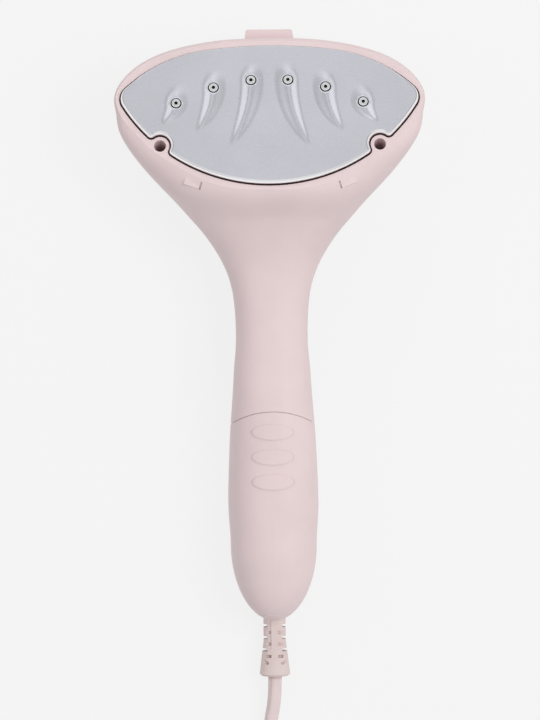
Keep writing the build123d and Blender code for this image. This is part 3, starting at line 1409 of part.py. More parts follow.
with BuildPart() as steam_plunger:
    with BuildSketch(Plane.XY.offset(PLUNGER_LOW)):
        with Locations((0, STEAM_Y)):
            Circle(PLUNGER_R)
    extrude(amount=PLUNGER_HIGH - PLUNGER_LOW)
keep(steam_plunger.part, "steam_plunger")

with BuildPart() as power_plunger:
    with BuildSketch(Plane.XY.offset(PLUNGER_LOW)):
        with Locations((0, POWER_Y)):
            Circle(PLUNGER_R)
    extrude(amount=PLUNGER_HIGH - PLUNGER_LOW)
keep(power_plunger.part, "power_plunger")

# Springs of the buttons, the check poppet and the pump piston
steam_top = STEAM_SEAT + BUTTON_FLANGE
power_top = POWER_SEAT + RING_FLANGE + BUTTON_FLANGE
with BuildPart() as steam_spring:
    with BuildLine() as steam_helix:
        steam_rise = BOARD_Z - steam_top - 2 * SPRING_WIRE
        Helix(steam_rise / SPRING_TURNS, steam_rise, SPRING_R, (0, STEAM_Y, steam_top + SPRING_WIRE))
    with BuildSketch(Plane(origin=steam_helix.line @ 0, z_dir=steam_helix.line % 0)):
        Circle(SPRING_WIRE)
    sweep(path=steam_helix.line, is_frenet=True)
keep(steam_spring.part, "steam_spring")

with BuildPart() as power_spring:
    with BuildLine() as power_helix:
        power_rise = BOARD_Z - power_top - 2 * SPRING_WIRE
        Helix(power_rise / SPRING_TURNS, power_rise, SPRING_R, (0, POWER_Y, power_top + SPRING_WIRE))
    with BuildSketch(Plane(origin=power_helix.line @ 0, z_dir=power_helix.line % 0)):
        Circle(SPRING_WIRE)
    sweep(path=power_helix.line, is_frenet=True)
keep(power_spring.part, "power_spring")

with BuildPart() as poppet_spring:
    with BuildLine() as poppet_helix:
        poppet_from = POPPET_SEAT + POPPET + FINE_WIRE
        poppet_rise = RETAINER_SEAT - FINE_WIRE - poppet_from
        Helix(poppet_rise / SPRING_TURNS, poppet_rise, FINE_SPRING_R, (0, poppet_from, OUTLET_Z), (0, 1, 0))
    with BuildSketch(Plane(origin=poppet_helix.line @ 0, z_dir=poppet_helix.line % 0)):
        Circle(FINE_WIRE)
    sweep(path=poppet_helix.line, is_frenet=True)
keep(poppet_spring.part, "poppet_spring")

with BuildPart() as piston_spring:
    with BuildLine() as piston_helix:
        piston_from = PISTON_X + PISTON_LONG + FINE_WIRE
        piston_rise = PISTON_ROOM - 2 * FINE_WIRE
        Helix(piston_rise / 6, piston_rise, FINE_SPRING_R, (piston_from, PUMP_Y, PUMP_Z), (1, 0, 0))
    with BuildSketch(Plane(origin=piston_helix.line @ 0, z_dir=piston_helix.line % 0)):
        Circle(FINE_WIRE)
    sweep(path=piston_helix.line, is_frenet=True)
keep(piston_spring.part, "piston_spring")

# Tank shell with its raised grip pads
tank_outer = body & tank_side(SEAM_R - SEAM_GAP)
tank_top = tank_outer & slab(BASE_TOP, REACH)
tank_core = tank_top - (inner_form & tank_side(SEAM_R - SEAM_GAP - WALL))
tank_bosses = rod((0, OUTLET_STEM_END, OUTLET_Z), (0, 1, 0), OUTLET_STEM_R + 3, 20)
tank_bosses += rod((0, FILLER_END, FILLER_Z), (0, -1, 0), FILLER_HEAD_R + 1.5, 20)
tank_bosses = tank_bosses & tank_top
grip_pads = Part()
for y in GRIP_YS:
    with BuildPart() as pad:
        with BuildSketch(Plane.XY.offset(OUTLET_Z)):
            with Locations((0, y)):
                Ellipse(GRIP_LONG / 2, GRIP_WIDE / 2)
        extrude(amount=40)
    grip_pads += pad.part
grip_pads = (grip_pads & pad_form) - inner_form
hat_half = RAIL_HEAD / 2 + RAIL_GAP + HAT
hat_top = RAIL_TOP + RAIL_GAP + HAT
with BuildPart() as hat_block:
    with BuildSketch(Plane.XY.offset(TANK_Z)):
        with Locations((0, (RAIL_LOW_Y - 1 - HAT) / 2)):
            Rectangle(2 * hat_half, -(RAIL_LOW_Y - 1 - HAT))
    extrude(amount=hat_top - TANK_Z)
hat = hat_block.part & tank_outer
with BuildPart() as tank_shell:
    add(tank_core)
    add(tank_bosses)
    add(grip_pads)
    add(hat, mode=Mode.SUBTRACT)
    with BuildSketch(along(OUTLET_SEAT)):
        with Locations((0, OUTLET_Z)):
            Circle(OUTLET_FLANGE_R + BUTTON_GAP)
    extrude(amount=-10, mode=Mode.SUBTRACT)
    with BuildSketch(along(OUTLET_SEAT)):
        with Locations((0, OUTLET_Z)):
            Circle(OUTLET_STEM_R + FIT)
    extrude(amount=10, mode=Mode.SUBTRACT)
    with BuildSketch(along(FILLER_SEAT)):
        with Locations((0, FILLER_Z)):
            Circle(FILLER_HEAD_R + BUTTON_GAP)
    extrude(amount=20, mode=Mode.SUBTRACT)
    with BuildSketch(along(FILLER_SEAT)):
        with Locations((0, FILLER_Z)):
            Circle(FILLER_R)
    extrude(amount=FILLER_SEAT - FILLER_END - 1, mode=Mode.SUBTRACT)
keep(tank_shell.part, "tank_shell")

# Tank base with the channel for the rail
base_slice = tank_outer & slab(TANK_Z, BASE_TOP)
with BuildPart() as tank_base:
    add(base_slice)
    add(hat)
    with BuildSketch(Plane.XY.offset(TANK_Z)):
        with Locations((0, (RAIL_LOW_Y - 1) / 2)):
            Rectangle(RAIL_STEM + 2 * RAIL_GAP, 1 - RAIL_LOW_Y)
    extrude(amount=RAIL_STEM_TOP - TANK_Z, mode=Mode.SUBTRACT)
    with BuildSketch(Plane.XY.offset(RAIL_STEM_TOP - RAIL_GAP)):
        with Locations((0, (RAIL_LOW_Y - 1) / 2)):
            Rectangle(RAIL_HEAD + 2 * RAIL_GAP, 1 - RAIL_LOW_Y)
    extrude(amount=RAIL_TOP - RAIL_STEM_TOP + 2 * RAIL_GAP, mode=Mode.SUBTRACT)
keep(tank_base.part, "tank_base")

# Tank outlet, its seal and its check valve
with BuildPart() as tank_outlet:
    with BuildSketch(along(OUTLET_SEAT)):
        with Locations((0, OUTLET_Z)):
            Circle(OUTLET_FLANGE_R)
    extrude(amount=-OUTLET_FLANGE)
    with BuildSketch(along(OUTLET_STEM_END)):
        with Locations((0, OUTLET_Z)):
            Circle(OUTLET_STEM_R)
    extrude(amount=OUTLET_STEM_END - OUTLET_TIP)
    with BuildSketch(along(ORING_Y - ORING_R)):
        with Locations((0, OUTLET_Z)):
            Circle(OUTLET_STEM_R + 1)
            Circle(ORING_FLOOR, mode=Mode.SUBTRACT)
    extrude(amount=-2 * ORING_R, mode=Mode.SUBTRACT)
    with BuildSketch(along(OUTLET_STEM_END)):
        with Locations((0, OUTLET_Z)):
            Circle(POPPET_STEM_R + 1)
    extrude(amount=OUTLET_STEM_END - POPPET_SEAT, mode=Mode.SUBTRACT)
    with BuildSketch(along(POPPET_SEAT)):
        with Locations((0, OUTLET_Z)):
            Circle(POPPET_BORE_R)
    extrude(amount=POPPET_SEAT - OUTLET_TIP, mode=Mode.SUBTRACT)
    with BuildSketch(along(RETAINER_SEAT)):
        with Locations((0, OUTLET_Z)):
            Circle(RETAINER_R)
    extrude(amount=RETAINER_SEAT - OUTLET_TIP, mode=Mode.SUBTRACT)
keep(tank_outlet.part, "tank_outlet")

with BuildPart() as tank_oring:
    with Locations(Location((0, ORING_Y, OUTLET_Z), (90, 0, 0))):
        Torus(ORING_FLOOR + ORING_R, ORING_R)
keep(tank_oring.part, "tank_oring")

with BuildPart() as tank_poppet:
    with BuildSketch(along(POPPET_SEAT)):
        with Locations((0, OUTLET_Z)):
            Circle(POPPET_R)
    extrude(amount=-POPPET)
    with BuildSketch(along(POPPET_SEAT)):
        with Locations((0, OUTLET_Z)):
            Circle(POPPET_STEM_R)
    extrude(amount=POPPET_SEAT - POPPET_STEM_END)
keep(tank_poppet.part, "tank_poppet")

with BuildPart() as poppet_retainer:
    with BuildSketch(along(RETAINER_SEAT)):
        with Locations((0, OUTLET_Z)):
            Circle(RETAINER_R - FIT)
            Circle(POPPET_STEM_R + 0.6, mode=Mode.SUBTRACT)
    extrude(amount=-RETAINER)
keep(poppet_retainer.part, "poppet_retainer")

# Filler plug at the tank's lower end
filler_head = rod((0, FILLER_SEAT, FILLER_Z), (0, -1, 0), FILLER_HEAD_R, 20) & body
with BuildPart() as filler_plug:
    add(filler_head)
    with BuildSketch(along(FILLER_SEAT)):
        with Locations((0, FILLER_Z)):
            Circle(FILLER_R - FIT)
    extrude(amount=FILLER_SEAT - FILLER_END)
keep(filler_plug.part, "filler_plug")

# Strain relief
relief_profile = [
    (CORD_R, RELIEF_INNER + RELIEF_FLANGE), (RELIEF_FLANGE_R, RELIEF_INNER + RELIEF_FLANGE),
    (RELIEF_FLANGE_R, RELIEF_INNER), (RELIEF_NECK_R, RELIEF_INNER), (RELIEF_NECK_R, RELIEF_SEAT),
    (RELIEF_R, RELIEF_SEAT), (RELIEF_R, RELIEF_FLARE_Y), (RELIEF_END_R, RELIEF_END + 1),
    (RELIEF_END_R - 1, RELIEF_END), (CORD_R, RELIEF_END),
]
pocket_x = (RELIEF_RIB + RELIEF_POCKET) / 2
with BuildPart() as strain_relief:
    with BuildSketch(Plane.XY.offset(CORD_Z)):
        with BuildLine():
            Polyline(*relief_profile, close=True)
        make_face()
    revolve(axis=Axis((0, 0, CORD_Z), (0, 1, 0)))
    with BuildSketch(Plane.XY.offset(CORD_Z + CORD_R + 1)):
        with Locations((0, (RELIEF_SEAT - 8 + RELIEF_END + 1) / 2)):
            Rectangle(RELIEF_RIB, RELIEF_SEAT - 8 - RELIEF_END - 1)
    extrude(amount=RELIEF_R + 0.4 - CORD_R - 1)
    with BuildSketch(Plane.XY):
        for y in RELIEF_NOTCH_YS:
            with Locations((-CORD_R - 4.4, y), (CORD_R + 4.4, y)):
                Rectangle(8, RELIEF_SLOT)
    extrude(amount=30, mode=Mode.SUBTRACT)
    with BuildSketch(Plane.XY) as pockets:
        for y in RELIEF_POCKET_YS:
            with Locations((-pocket_x, y), (pocket_x, y)):
                Rectangle(RELIEF_POCKET, RELIEF_SLOT)
        for side in (-1, 1):
            with Locations(Location((side * RELIEF_HOOK_X, RELIEF_HOOK_Y), side * RELIEF_HOOK_TURN)):
                SlotOverall(RELIEF_HOOK, RELIEF_SLOT)
    extrude(pockets.sketch.moved(Location((0, 0, CORD_Z + CORD_R + CLEAR))), 10, mode=Mode.SUBTRACT)
    extrude(pockets.sketch.moved(Location((0, 0, CORD_Z - CORD_R - CLEAR))), -10, mode=Mode.SUBTRACT)
keep(strain_relief.part, "strain_relief")

# Cord clamp in the spine
with BuildPart() as cord_clamp:
    with BuildSketch(Plane.XY.offset(CORD_Z)):
        with Locations((0, CLAMP_Y)):
            Rectangle(2 * CLAMP_SCREW_X + 6, 7)
        with Locations((-CLAMP_SCREW_X, CLAMP_Y), (CLAMP_SCREW_X, CLAMP_Y)):
            Circle(SMALL_SCREW_R + 2 * FIT, mode=Mode.SUBTRACT)
    extrude(amount=CLAMP_TOP - CORD_Z)
    with BuildSketch(along(CLAMP_Y + 5)):
        with Locations((0, CORD_Z)):
            Circle(CORD_R)
    extrude(amount=10, mode=Mode.SUBTRACT)
keep(cord_clamp.part, "cord_clamp")

# Wires from the cord to the board and from the board to the heater
wire_starts = ((-1.3, -0.8), (1.3, -0.8), (0.0, 1.5))
wire_ends = (-1.1, 4.7, 1.8)
wires = []
for (dx, dz), end in zip(wire_starts, wire_ends):
    wires.append([
        (dx, LEAD_END, CORD_Z + dz), (dx, -72, CORD_Z + dz), (end, DECK_END - 2, CORD_Z + 2),
        (end, -27, BOARD_Z - 5), (end, -19, BOARD_TOP + 1.5), (end, -12, BOARD_TOP + 1.5),
    ])
with BuildPart() as live_wire:
    with BuildLine() as live_path:
        FilletPolyline(*wires[0], radius=WIRE_BEND)
    with BuildSketch(Plane(origin=live_path.line @ 0, z_dir=live_path.line % 0)):
        Circle(WIRE_R)
    sweep(path=live_path.line)
keep(live_wire.part, "live_wire")

with BuildPart() as neutral_wire:
    with BuildLine() as neutral_path:
        FilletPolyline(*wires[1], radius=WIRE_BEND)
    with BuildSketch(Plane(origin=neutral_path.line @ 0, z_dir=neutral_path.line % 0)):
        Circle(WIRE_R)
    sweep(path=neutral_path.line)
keep(neutral_wire.part, "neutral_wire")

with BuildPart() as earth_wire:
    with BuildLine() as earth_path:
        FilletPolyline(*wires[2], radius=WIRE_BEND)
    with BuildSketch(Plane(origin=earth_path.line @ 0, z_dir=earth_path.line % 0)):
        Circle(WIRE_R)
    sweep(path=earth_path.line)
keep(earth_wire.part, "earth_wire")

leads = []
for side, (u, v) in zip((-1, 1), HEATER_ENDS):
    leads.append([
        (side * 4, 52.5, BOARD_TOP + 3.5), (side * 4, 57, BOARD_TOP + 3.5), (side * 13, 64, 36),
        (side * 33, 74, 38), on_plate(u, v, HEATER_PIN - 7), on_plate(u, v, HEATER_PIN),
    ])
with BuildPart() as heater_leads:
    with BuildLine() as left_lead:
        FilletPolyline(*leads[0], radius=WIRE_BEND / 2)
    with BuildSketch(Plane(origin=left_lead.line @ 0, z_dir=left_lead.line % 0)):
        Circle(WIRE_R)
    sweep(path=left_lead.line)
    with BuildLine() as right_lead:
        FilletPolyline(*leads[1], radius=WIRE_BEND / 2)
    with BuildSketch(Plane(origin=right_lead.line @ 0, z_dir=right_lead.line % 0)):
        Circle(WIRE_R)
    sweep(path=right_lead.line)
keep(heater_leads.part, "heater_leads")

# Cord inside the grip and its free stretch on the floor
with BuildPart() as cord_lead:
    with BuildSketch(along(LEAD_END)):
        with Locations((0, CORD_Z)):
            Circle(CORD_R)
    extrude(amount=LEAD_END - RELIEF_END)
keep(cord_lead.part, "cord_lead")

floor_z = COIL_LIFT + CORD_R
upper_z = floor_z + COIL_STEP
cord_points = [
    (0, RELIEF_END, CORD_Z), (0, -187.5, CORD_Z), (-2.3, -200, 7.0), (-5.2, -217, 4.9),
    (CORD_EXIT_X, -238, floor_z), (CORD_EXIT_X, COIL_Y, floor_z),
]
tail_points = [
    (CORD_EXIT_X, COIL_Y, upper_z), (CORD_EXIT_X, COIL_Y - 14, upper_z),
    (PLUG_X - 0.3, COIL_Y - 28, upper_z + 2.8), (PLUG_X, PLUG_Y + 12, PLUG_R), (PLUG_X, PLUG_Y, PLUG_R),
]
print("cord bends", [round(r, 1) for r in bends(cord_points)])
print("tail bends", [round(r, 1) for r in bends(tail_points)])
with BuildPart() as cord:
    with BuildLine() as cord_path:
        FilletPolyline(*cord_points, radius=bends(cord_points))
    with BuildSketch(Plane(origin=cord_path.line @ 0, z_dir=cord_path.line % 0)):
        Circle(CORD_R)
    sweep(path=cord_path.line)
keep(cord.part, "cord")

with BuildPart() as cord_tail:
    with BuildLine() as tail_path:
        FilletPolyline(*tail_points, radius=bends(tail_points))
    with BuildSketch(Plane(origin=tail_path.line @ 0, z_dir=tail_path.line % 0)):
        Circle(CORD_R)
    sweep(path=tail_path.line)
keep(cord_tail.part, "cord_tail")

# Cord coil: spirals in, climbs a layer in half a turn and spirals out again
half_span = COIL_PITCH * COIL_SPIRAL_QUARTERS / 8
coil_out_r = COIL_MEAN_R + half_span
coil_in_r = COIL_MEAN_R - half_span
coil_x = CORD_EXIT_X - coil_out_r
quarters = 2 * COIL_SPIRAL_QUARTERS
knots = []
for k in range(quarters + 1):
    turn = radians(-90 * k)
    inward = min(k, quarters - k)
    radius = coil_out_r - COIL_PITCH * inward / 4
    climb = min(max(k - COIL_SPIRAL_QUARTERS + 1, 0), 2)
    height = floor_z + COIL_STEP * climb / 2
    drift = 0.0
    if 0 < k < COIL_SPIRAL_QUARTERS:
        drift = -COIL_PITCH / (2 * pi * radius)
    if COIL_SPIRAL_QUARTERS < k < quarters:
        drift = COIL_PITCH / (2 * pi * radius)
    lift = COIL_STEP * 1.5 / (pi * radius) if climb == 1 else 0.0
    out = Vector(cos(turn), sin(turn), 0)
    ahead = Vector(sin(turn), -cos(turn), 0)
    spot = Vector(coil_x, COIL_Y, height) + out * radius
    knots.append((spot, (ahead + out * drift + Vector(0, 0, lift)).normalized()))
with BuildPart() as cord_coil:
    with BuildLine() as coil_path:
        for (q0, t0), (q1, t1) in zip(knots, knots[1:]):
            for arc in biarc(q0, t0, q1, t1):
                ThreePointArc(*arc)
    with BuildSketch(Plane(origin=knots[0][0], z_dir=knots[0][1])):
        Circle(CORD_R)
    sweep(path=coil_path.line)
keep(cord_coil.part, "cord_coil")
samples = [edge @ (i / 12) for edge in coil_path.edges() for i in range(12)]
least = REACH
for i in range(len(samples)):
    for j in range(i + 36, len(samples)):
        least = min(least, (samples[i] - samples[j]).length)
print("least gap between turns", round(least - 2 * CORD_R, 2))
runs = (("cord", cord, cord_path), ("coil", cord_coil, coil_path), ("tail", cord_tail, tail_path))
for name, piece, line in runs:
    length = sum(edge.length for edge in line.edges())
    share = piece.part.volume / (pi * CORD_R**2 * length)
    print(name, "length", round(length, 1), "volume share", round(share, 4))

# Tie round the coil
bundle_in = coil_in_r - CORD_R
bundle_out = coil_out_r - COIL_PITCH / 2 + CORD_R
bundle_wide = bundle_out - bundle_in + 2 * TIE_ROOM
bundle_high = upper_z - floor_z + 2 * CORD_R
with BuildPart() as coil_tie:
    with BuildSketch(along(COIL_Y + TIE_WIDE / 2)):
        with Locations((coil_x - (bundle_in + bundle_out) / 2, (floor_z + upper_z) / 2)):
            RectangleRounded(bundle_wide + 2 * TIE, bundle_high + 2 * TIE, TIE_CORNER)
            RectangleRounded(bundle_wide, bundle_high, TIE_CORNER - TIE, mode=Mode.SUBTRACT)
    extrude(amount=TIE_WIDE)
keep(coil_tie.part, "coil_tie")

# Plug with two pins and side earth clips
plug_profile = [
    (0, 0), (5.2, 0), (6.0, 10), (11.5, 14), (15.0, 23), (PLUG_R, 29), (PLUG_R, PLUG_LONG - 1),
    (PLUG_R - 1, PLUG_LONG), (0, PLUG_LONG),
]
with BuildPart() as plug_body:
    with BuildSketch(Plane.XY.offset(PLUG_R)):
        with BuildLine():
            Polyline(*[(PLUG_X + r, PLUG_Y - y) for r, y in plug_profile], close=True)
        make_face()
    revolve(axis=Axis((PLUG_X, PLUG_Y, PLUG_R), (0, 1, 0)))
    with BuildSketch(along(PLUG_Y - PLUG_LONG + 12)):
        with Locations((PLUG_X, 0.5), (PLUG_X, 2 * PLUG_R - 0.5)):
            Rectangle(6.4, 3)
    extrude(amount=20, mode=Mode.SUBTRACT)
keep(plug_body.part, "plug_body")

with BuildPart() as plug_pins:
    with BuildSketch(along(PLUG_Y - PLUG_LONG)):
        with Locations((PLUG_X - PIN_X, PLUG_R), (PLUG_X + PIN_X, PLUG_R)):
            Circle(PIN_R)
    extrude(amount=PIN_LONG)
    fillet(plug_pins.faces().sort_by(Axis.Y)[0:2].edges(), 1.0)
keep(plug_pins.part, "plug_pins")

with BuildPart() as plug_clips:
    with BuildSketch(along(PLUG_Y - PLUG_LONG + 12)):
        with Locations((PLUG_X, 1.6), (PLUG_X, 2 * PLUG_R - 1.6)):
            Rectangle(6, 0.8)
    extrude(amount=12.6)
keep(plug_clips.part, "plug_clips")
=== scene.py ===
import json
import math

import bpy
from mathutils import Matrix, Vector
from mathutils.bvhtree import BVHTree
from mathutils.geometry import delaunay_2d_cdt

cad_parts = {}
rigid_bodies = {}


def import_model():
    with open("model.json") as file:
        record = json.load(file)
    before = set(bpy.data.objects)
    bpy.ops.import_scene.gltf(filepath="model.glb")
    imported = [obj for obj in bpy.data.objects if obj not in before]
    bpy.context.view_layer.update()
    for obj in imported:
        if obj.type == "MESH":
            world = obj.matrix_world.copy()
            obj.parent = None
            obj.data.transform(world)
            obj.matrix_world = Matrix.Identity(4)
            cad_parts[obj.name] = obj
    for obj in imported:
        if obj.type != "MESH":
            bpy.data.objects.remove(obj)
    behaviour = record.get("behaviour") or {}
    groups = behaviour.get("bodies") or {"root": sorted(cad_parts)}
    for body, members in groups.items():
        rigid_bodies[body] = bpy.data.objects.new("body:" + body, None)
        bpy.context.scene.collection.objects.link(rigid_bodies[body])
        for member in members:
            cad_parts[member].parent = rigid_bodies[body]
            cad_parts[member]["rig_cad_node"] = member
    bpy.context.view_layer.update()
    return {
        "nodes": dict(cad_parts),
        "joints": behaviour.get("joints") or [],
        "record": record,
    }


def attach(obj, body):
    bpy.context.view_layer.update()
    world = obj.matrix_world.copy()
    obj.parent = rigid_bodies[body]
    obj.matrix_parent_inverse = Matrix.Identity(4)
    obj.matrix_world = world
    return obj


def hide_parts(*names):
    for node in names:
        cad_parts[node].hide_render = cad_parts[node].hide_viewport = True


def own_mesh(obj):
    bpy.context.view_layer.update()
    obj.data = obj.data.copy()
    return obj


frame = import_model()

MM = 0.001
nodes = frame["nodes"]
scene = bpy.context.scene

# Anything the empty file brought along
for extra in list(bpy.data.objects):
    if extra.name in ("Cube", "Light", "Camera") and "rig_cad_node" not in extra:
        bpy.data.objects.remove(extra)

# Camera above the steamer, as in the photograph
CAMERA_AT = (-0.001, -0.01775, 1.25)
CAMERA_ROLL = math.radians(-0.55)
FOCAL_PX = 2463.0
IMAGE_HEIGHT = 720.0
SENSOR_HEIGHT = 24.0
CLIP_END = 20.0
camera_data = bpy.data.cameras.new("camera")
camera_data.sensor_fit = "VERTICAL"
camera_data.sensor_height = SENSOR_HEIGHT
camera_data.lens = FOCAL_PX / IMAGE_HEIGHT * SENSOR_HEIGHT
camera_data.clip_end = CLIP_END
camera = bpy.data.objects.new("camera", camera_data)
camera.location = CAMERA_AT
camera.rotation_euler = (0.0, 0.0, CAMERA_ROLL)
scene.collection.objects.link(camera)
scene.camera = camera
scene.view_settings.view_transform = "Standard"


def linear(*srgb):
    """sRGB 0-255 to a linear colour with alpha."""
    out = []
    for value in srgb:
        share = value / 255.0
        out.append(share / 12.92 if share <= 0.04045 else ((share + 0.055) / 1.055) ** 2.4)
    return (*out, 1.0)


def add_mesh(name, points, faces, smooth=True):
    """Object in the scene from points and faces."""
    mesh = bpy.data.meshes.new(name)
    mesh.from_pydata(points, [], faces)
    mesh.update()
    for polygon in mesh.polygons:
        polygon.use_smooth = smooth
    obj = bpy.data.objects.new(name, mesh)
    scene.collection.objects.link(obj)
    return obj


def band(first, count, flip=False):
    """Faces between a closed ring of points and the ring after it."""
    pairs = [(first + k, first + (k + 1) % count) for k in range(count)]
    if flip:
        pairs = [(b, a) for a, b in pairs]
    return [(a, b, b + count, a + count) for a, b in pairs]


# Cord: free stretch, put-away coil and tail, all one spline
CORD_R = 3.4 * MM
CORD_LOBES = 4
CORD_DIP = 0.2
CORD_TWIST = 0.4
CORD_SIDES = 32
CORD_SMOOTHNESS = 6
FLOOR_Z = 4.3
UPPER_Z = 11.6
EXIT_X = -6.5
COIL_Y = -258.0
COIL_PITCH = 7.3
COIL_MEAN_R = 40.0
SPIRAL_TURNS = 3.5
CLIMB_TURNS = 0.5
POINTS_PER_TURN = 16
# The spline runs inside control points that lie on a circle, so they lie further out by this factor
CONTROL_SPREAD = 1.0 / (0.75 + 0.25 * math.cos(2 * math.pi / POINTS_PER_TURN))
out_r = COIL_MEAN_R + COIL_PITCH * SPIRAL_TURNS / 2
coil_x = EXIT_X - out_r
route = [
    (0.0, -176.6, 9.0), (0.0, -187.5, 9.0), (-2.3, -200.0, 7.0), (-5.2, -217.0, 4.9),
    (EXIT_X, -238.0, FLOOR_Z), (EXIT_X, COIL_Y, FLOOR_Z),
]
for step in range(1, int(2 * SPIRAL_TURNS * POINTS_PER_TURN)):
    turn = step / POINTS_PER_TURN
    inward = min(turn, 2 * SPIRAL_TURNS - turn)
    radius = (out_r - COIL_PITCH * inward) * CONTROL_SPREAD
    climb = min(max((turn - SPIRAL_TURNS + CLIMB_TURNS / 2) / CLIMB_TURNS, 0.0), 1.0)
    climb = climb * climb * (3 - 2 * climb)
    angle = -2 * math.pi * turn
    height = FLOOR_Z + (UPPER_Z - FLOOR_Z) * climb
    route.append((coil_x + radius * math.cos(angle), COIL_Y + radius * math.sin(angle), height))
route += [
    (EXIT_X, COIL_Y, UPPER_Z), (EXIT_X, -272.0, UPPER_Z), (-6.3, -286.0, 14.4),
    (-6.0, -300.0, 18.6), (-6.0, -312.0, 18.6),
]
line_data = bpy.data.curves.new("cord_line", "CURVE")
line_data.dimensions = "3D"
line_data.resolution_u = CORD_SMOOTHNESS
spline = line_data.splines.new("NURBS")
spline.points.add(len(route) - 1)
for point, spot in zip(spline.points, route):
    point.co = (spot[0] * MM, spot[1] * MM, spot[2] * MM, 1.0)
spline.order_u = 3
spline.use_endpoint_u = True
line = bpy.data.objects.new("cord_line", line_data)
scene.collection.objects.link(line)
bpy.context.view_layer.update()
line_mesh = bpy.data.meshes.new_from_object(line)
path = [Vector(vertex.co) for vertex in line_mesh.vertices]
bpy.data.objects.remove(line)
bpy.data.meshes.remove(line_mesh)


def lobed_tube(name, path, radius, lobes, dip, twist_length, around):
    """Tube with shallow lengthwise lobes that turn slowly along it."""
    points = []
    faces = []
    side = Vector((1.0, 0.0, 0.0))
    run = 0.0
    for i, spot in enumerate(path):
        ahead = (path[min(i + 1, len(path) - 1)] - path[max(i - 1, 0)]).normalized()
        side = (side - ahead * side.dot(ahead)).normalized()
        up = ahead.cross(side)
        if i:
            run += (spot - path[i - 1]).length
        lean = 2 * math.pi * run / twist_length
        for k in range(around):
            angle = 2 * math.pi * k / around
            reach = radius * (1.0 - dip * (0.5 - 0.5 * math.cos(lobes * (angle - lean))) ** 4)
            points.append(spot + side * (reach * math.cos(angle)) + up * (reach * math.sin(angle)))
    last = (len(path) - 1) * around
    for first in range(0, last, around):
        faces += band(first, around)
    faces.append(tuple(reversed(range(around))))
    faces.append(tuple(range(last, last + around)))
    return add_mesh(name, points, faces)


cord = lobed_tube("mains_cord", path, CORD_R, CORD_LOBES, CORD_DIP, CORD_TWIST, CORD_SIDES)
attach(cord, "body")
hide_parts("cord", "cord_coil", "cord_tail")

# Soleplate plane
TILT = math.radians(12.0)
LIP_Y = 63.1
LIP_Z = 72.5


def on_plate(u, v, n):
    """Point given across, along and over the tilted plate in millimetres."""
    y = LIP_Y + v * math.cos(TILT) + n * math.sin(TILT)
    z = LIP_Z - v * math.sin(TILT) + n * math.cos(TILT)
    return Vector((u * MM, y * MM, z * MM))


# Soleplate outline sizes, as in the part
PLATE_FOOT = 3.3
PLATE_CROWN = 72.3
TIP_R = 7.0
TIP = Vector((64.8, 46.4))
CROWN_R = 230.0
CROWN_HALF = 30.0
WELL = Vector((52.8, 22.9))
NOTCH_R = 5.2
NOTCH_BLEND = 2.0
tip_up = TIP.y - PLATE_FOOT
LOW_R = (TIP.x**2 + tip_up**2 - TIP_R**2) / (2 * tip_up - 2 * TIP_R)
LOW = Vector((0.0, PLATE_FOOT + LOW_R))
lean = CROWN_HALF / CROWN_R
stand = math.sqrt(1 - lean**2)
JOIN = Vector((CROWN_HALF, PLATE_CROWN - CROWN_R * (1 - stand)))
gap = JOIN - TIP
SHOULDER_R = (gap.length_squared - TIP_R**2) / (2 * (lean * gap.x + stand * gap.y) - 2 * TIP_R)
SHOULDER = JOIN - SHOULDER_R * Vector((lean, stand))
CROWN = Vector((0.0, PLATE_CROWN - CROWN_R))

# Points along each arc of the outline
LOW_STEPS = 50
BLEND_STEPS = 12
NOTCH_STEPS = 24
FLANK_STEPS = 24
TIP_STEPS = 24
SHOULDER_STEPS = 40
CROWN_STEPS = 24


def sweep_arc(centre, radius, start, end, count, turn):
    """Points on an arc from start towards end, the end left out; turn is 1 or -1."""
    a0 = math.atan2(start.y - centre.y, start.x - centre.x)
    a1 = math.atan2(end.y - centre.y, end.x - centre.x)
    while turn > 0 and a1 < a0:
        a1 += 2 * math.pi
    while turn < 0 and a1 > a0:
        a1 -= 2 * math.pi
    angles = [a0 + (a1 - a0) * k / count for k in range(count)]
    return [Vector((centre.x + radius * math.cos(a), centre.y + radius * math.sin(a))) for a in angles]


def meet(c0, r0, c1, r1):
    """Both points where two circles cross, left one first as seen along c0 to c1."""
    d = c1 - c0
    along = (d.length_squared + r0**2 - r1**2) / (2 * d.length)
    off = math.sqrt(max(r0**2 - along**2, 0.0))
    flat = d.normalized()
    side = Vector((-flat.y, flat.x))
    return c0 + flat * along + side * off, c0 + flat * along - side * off


def touch(spot, centre, radius):
    """Point of a circle that lies towards a spot."""
    return centre + (spot - centre).normalized() * radius


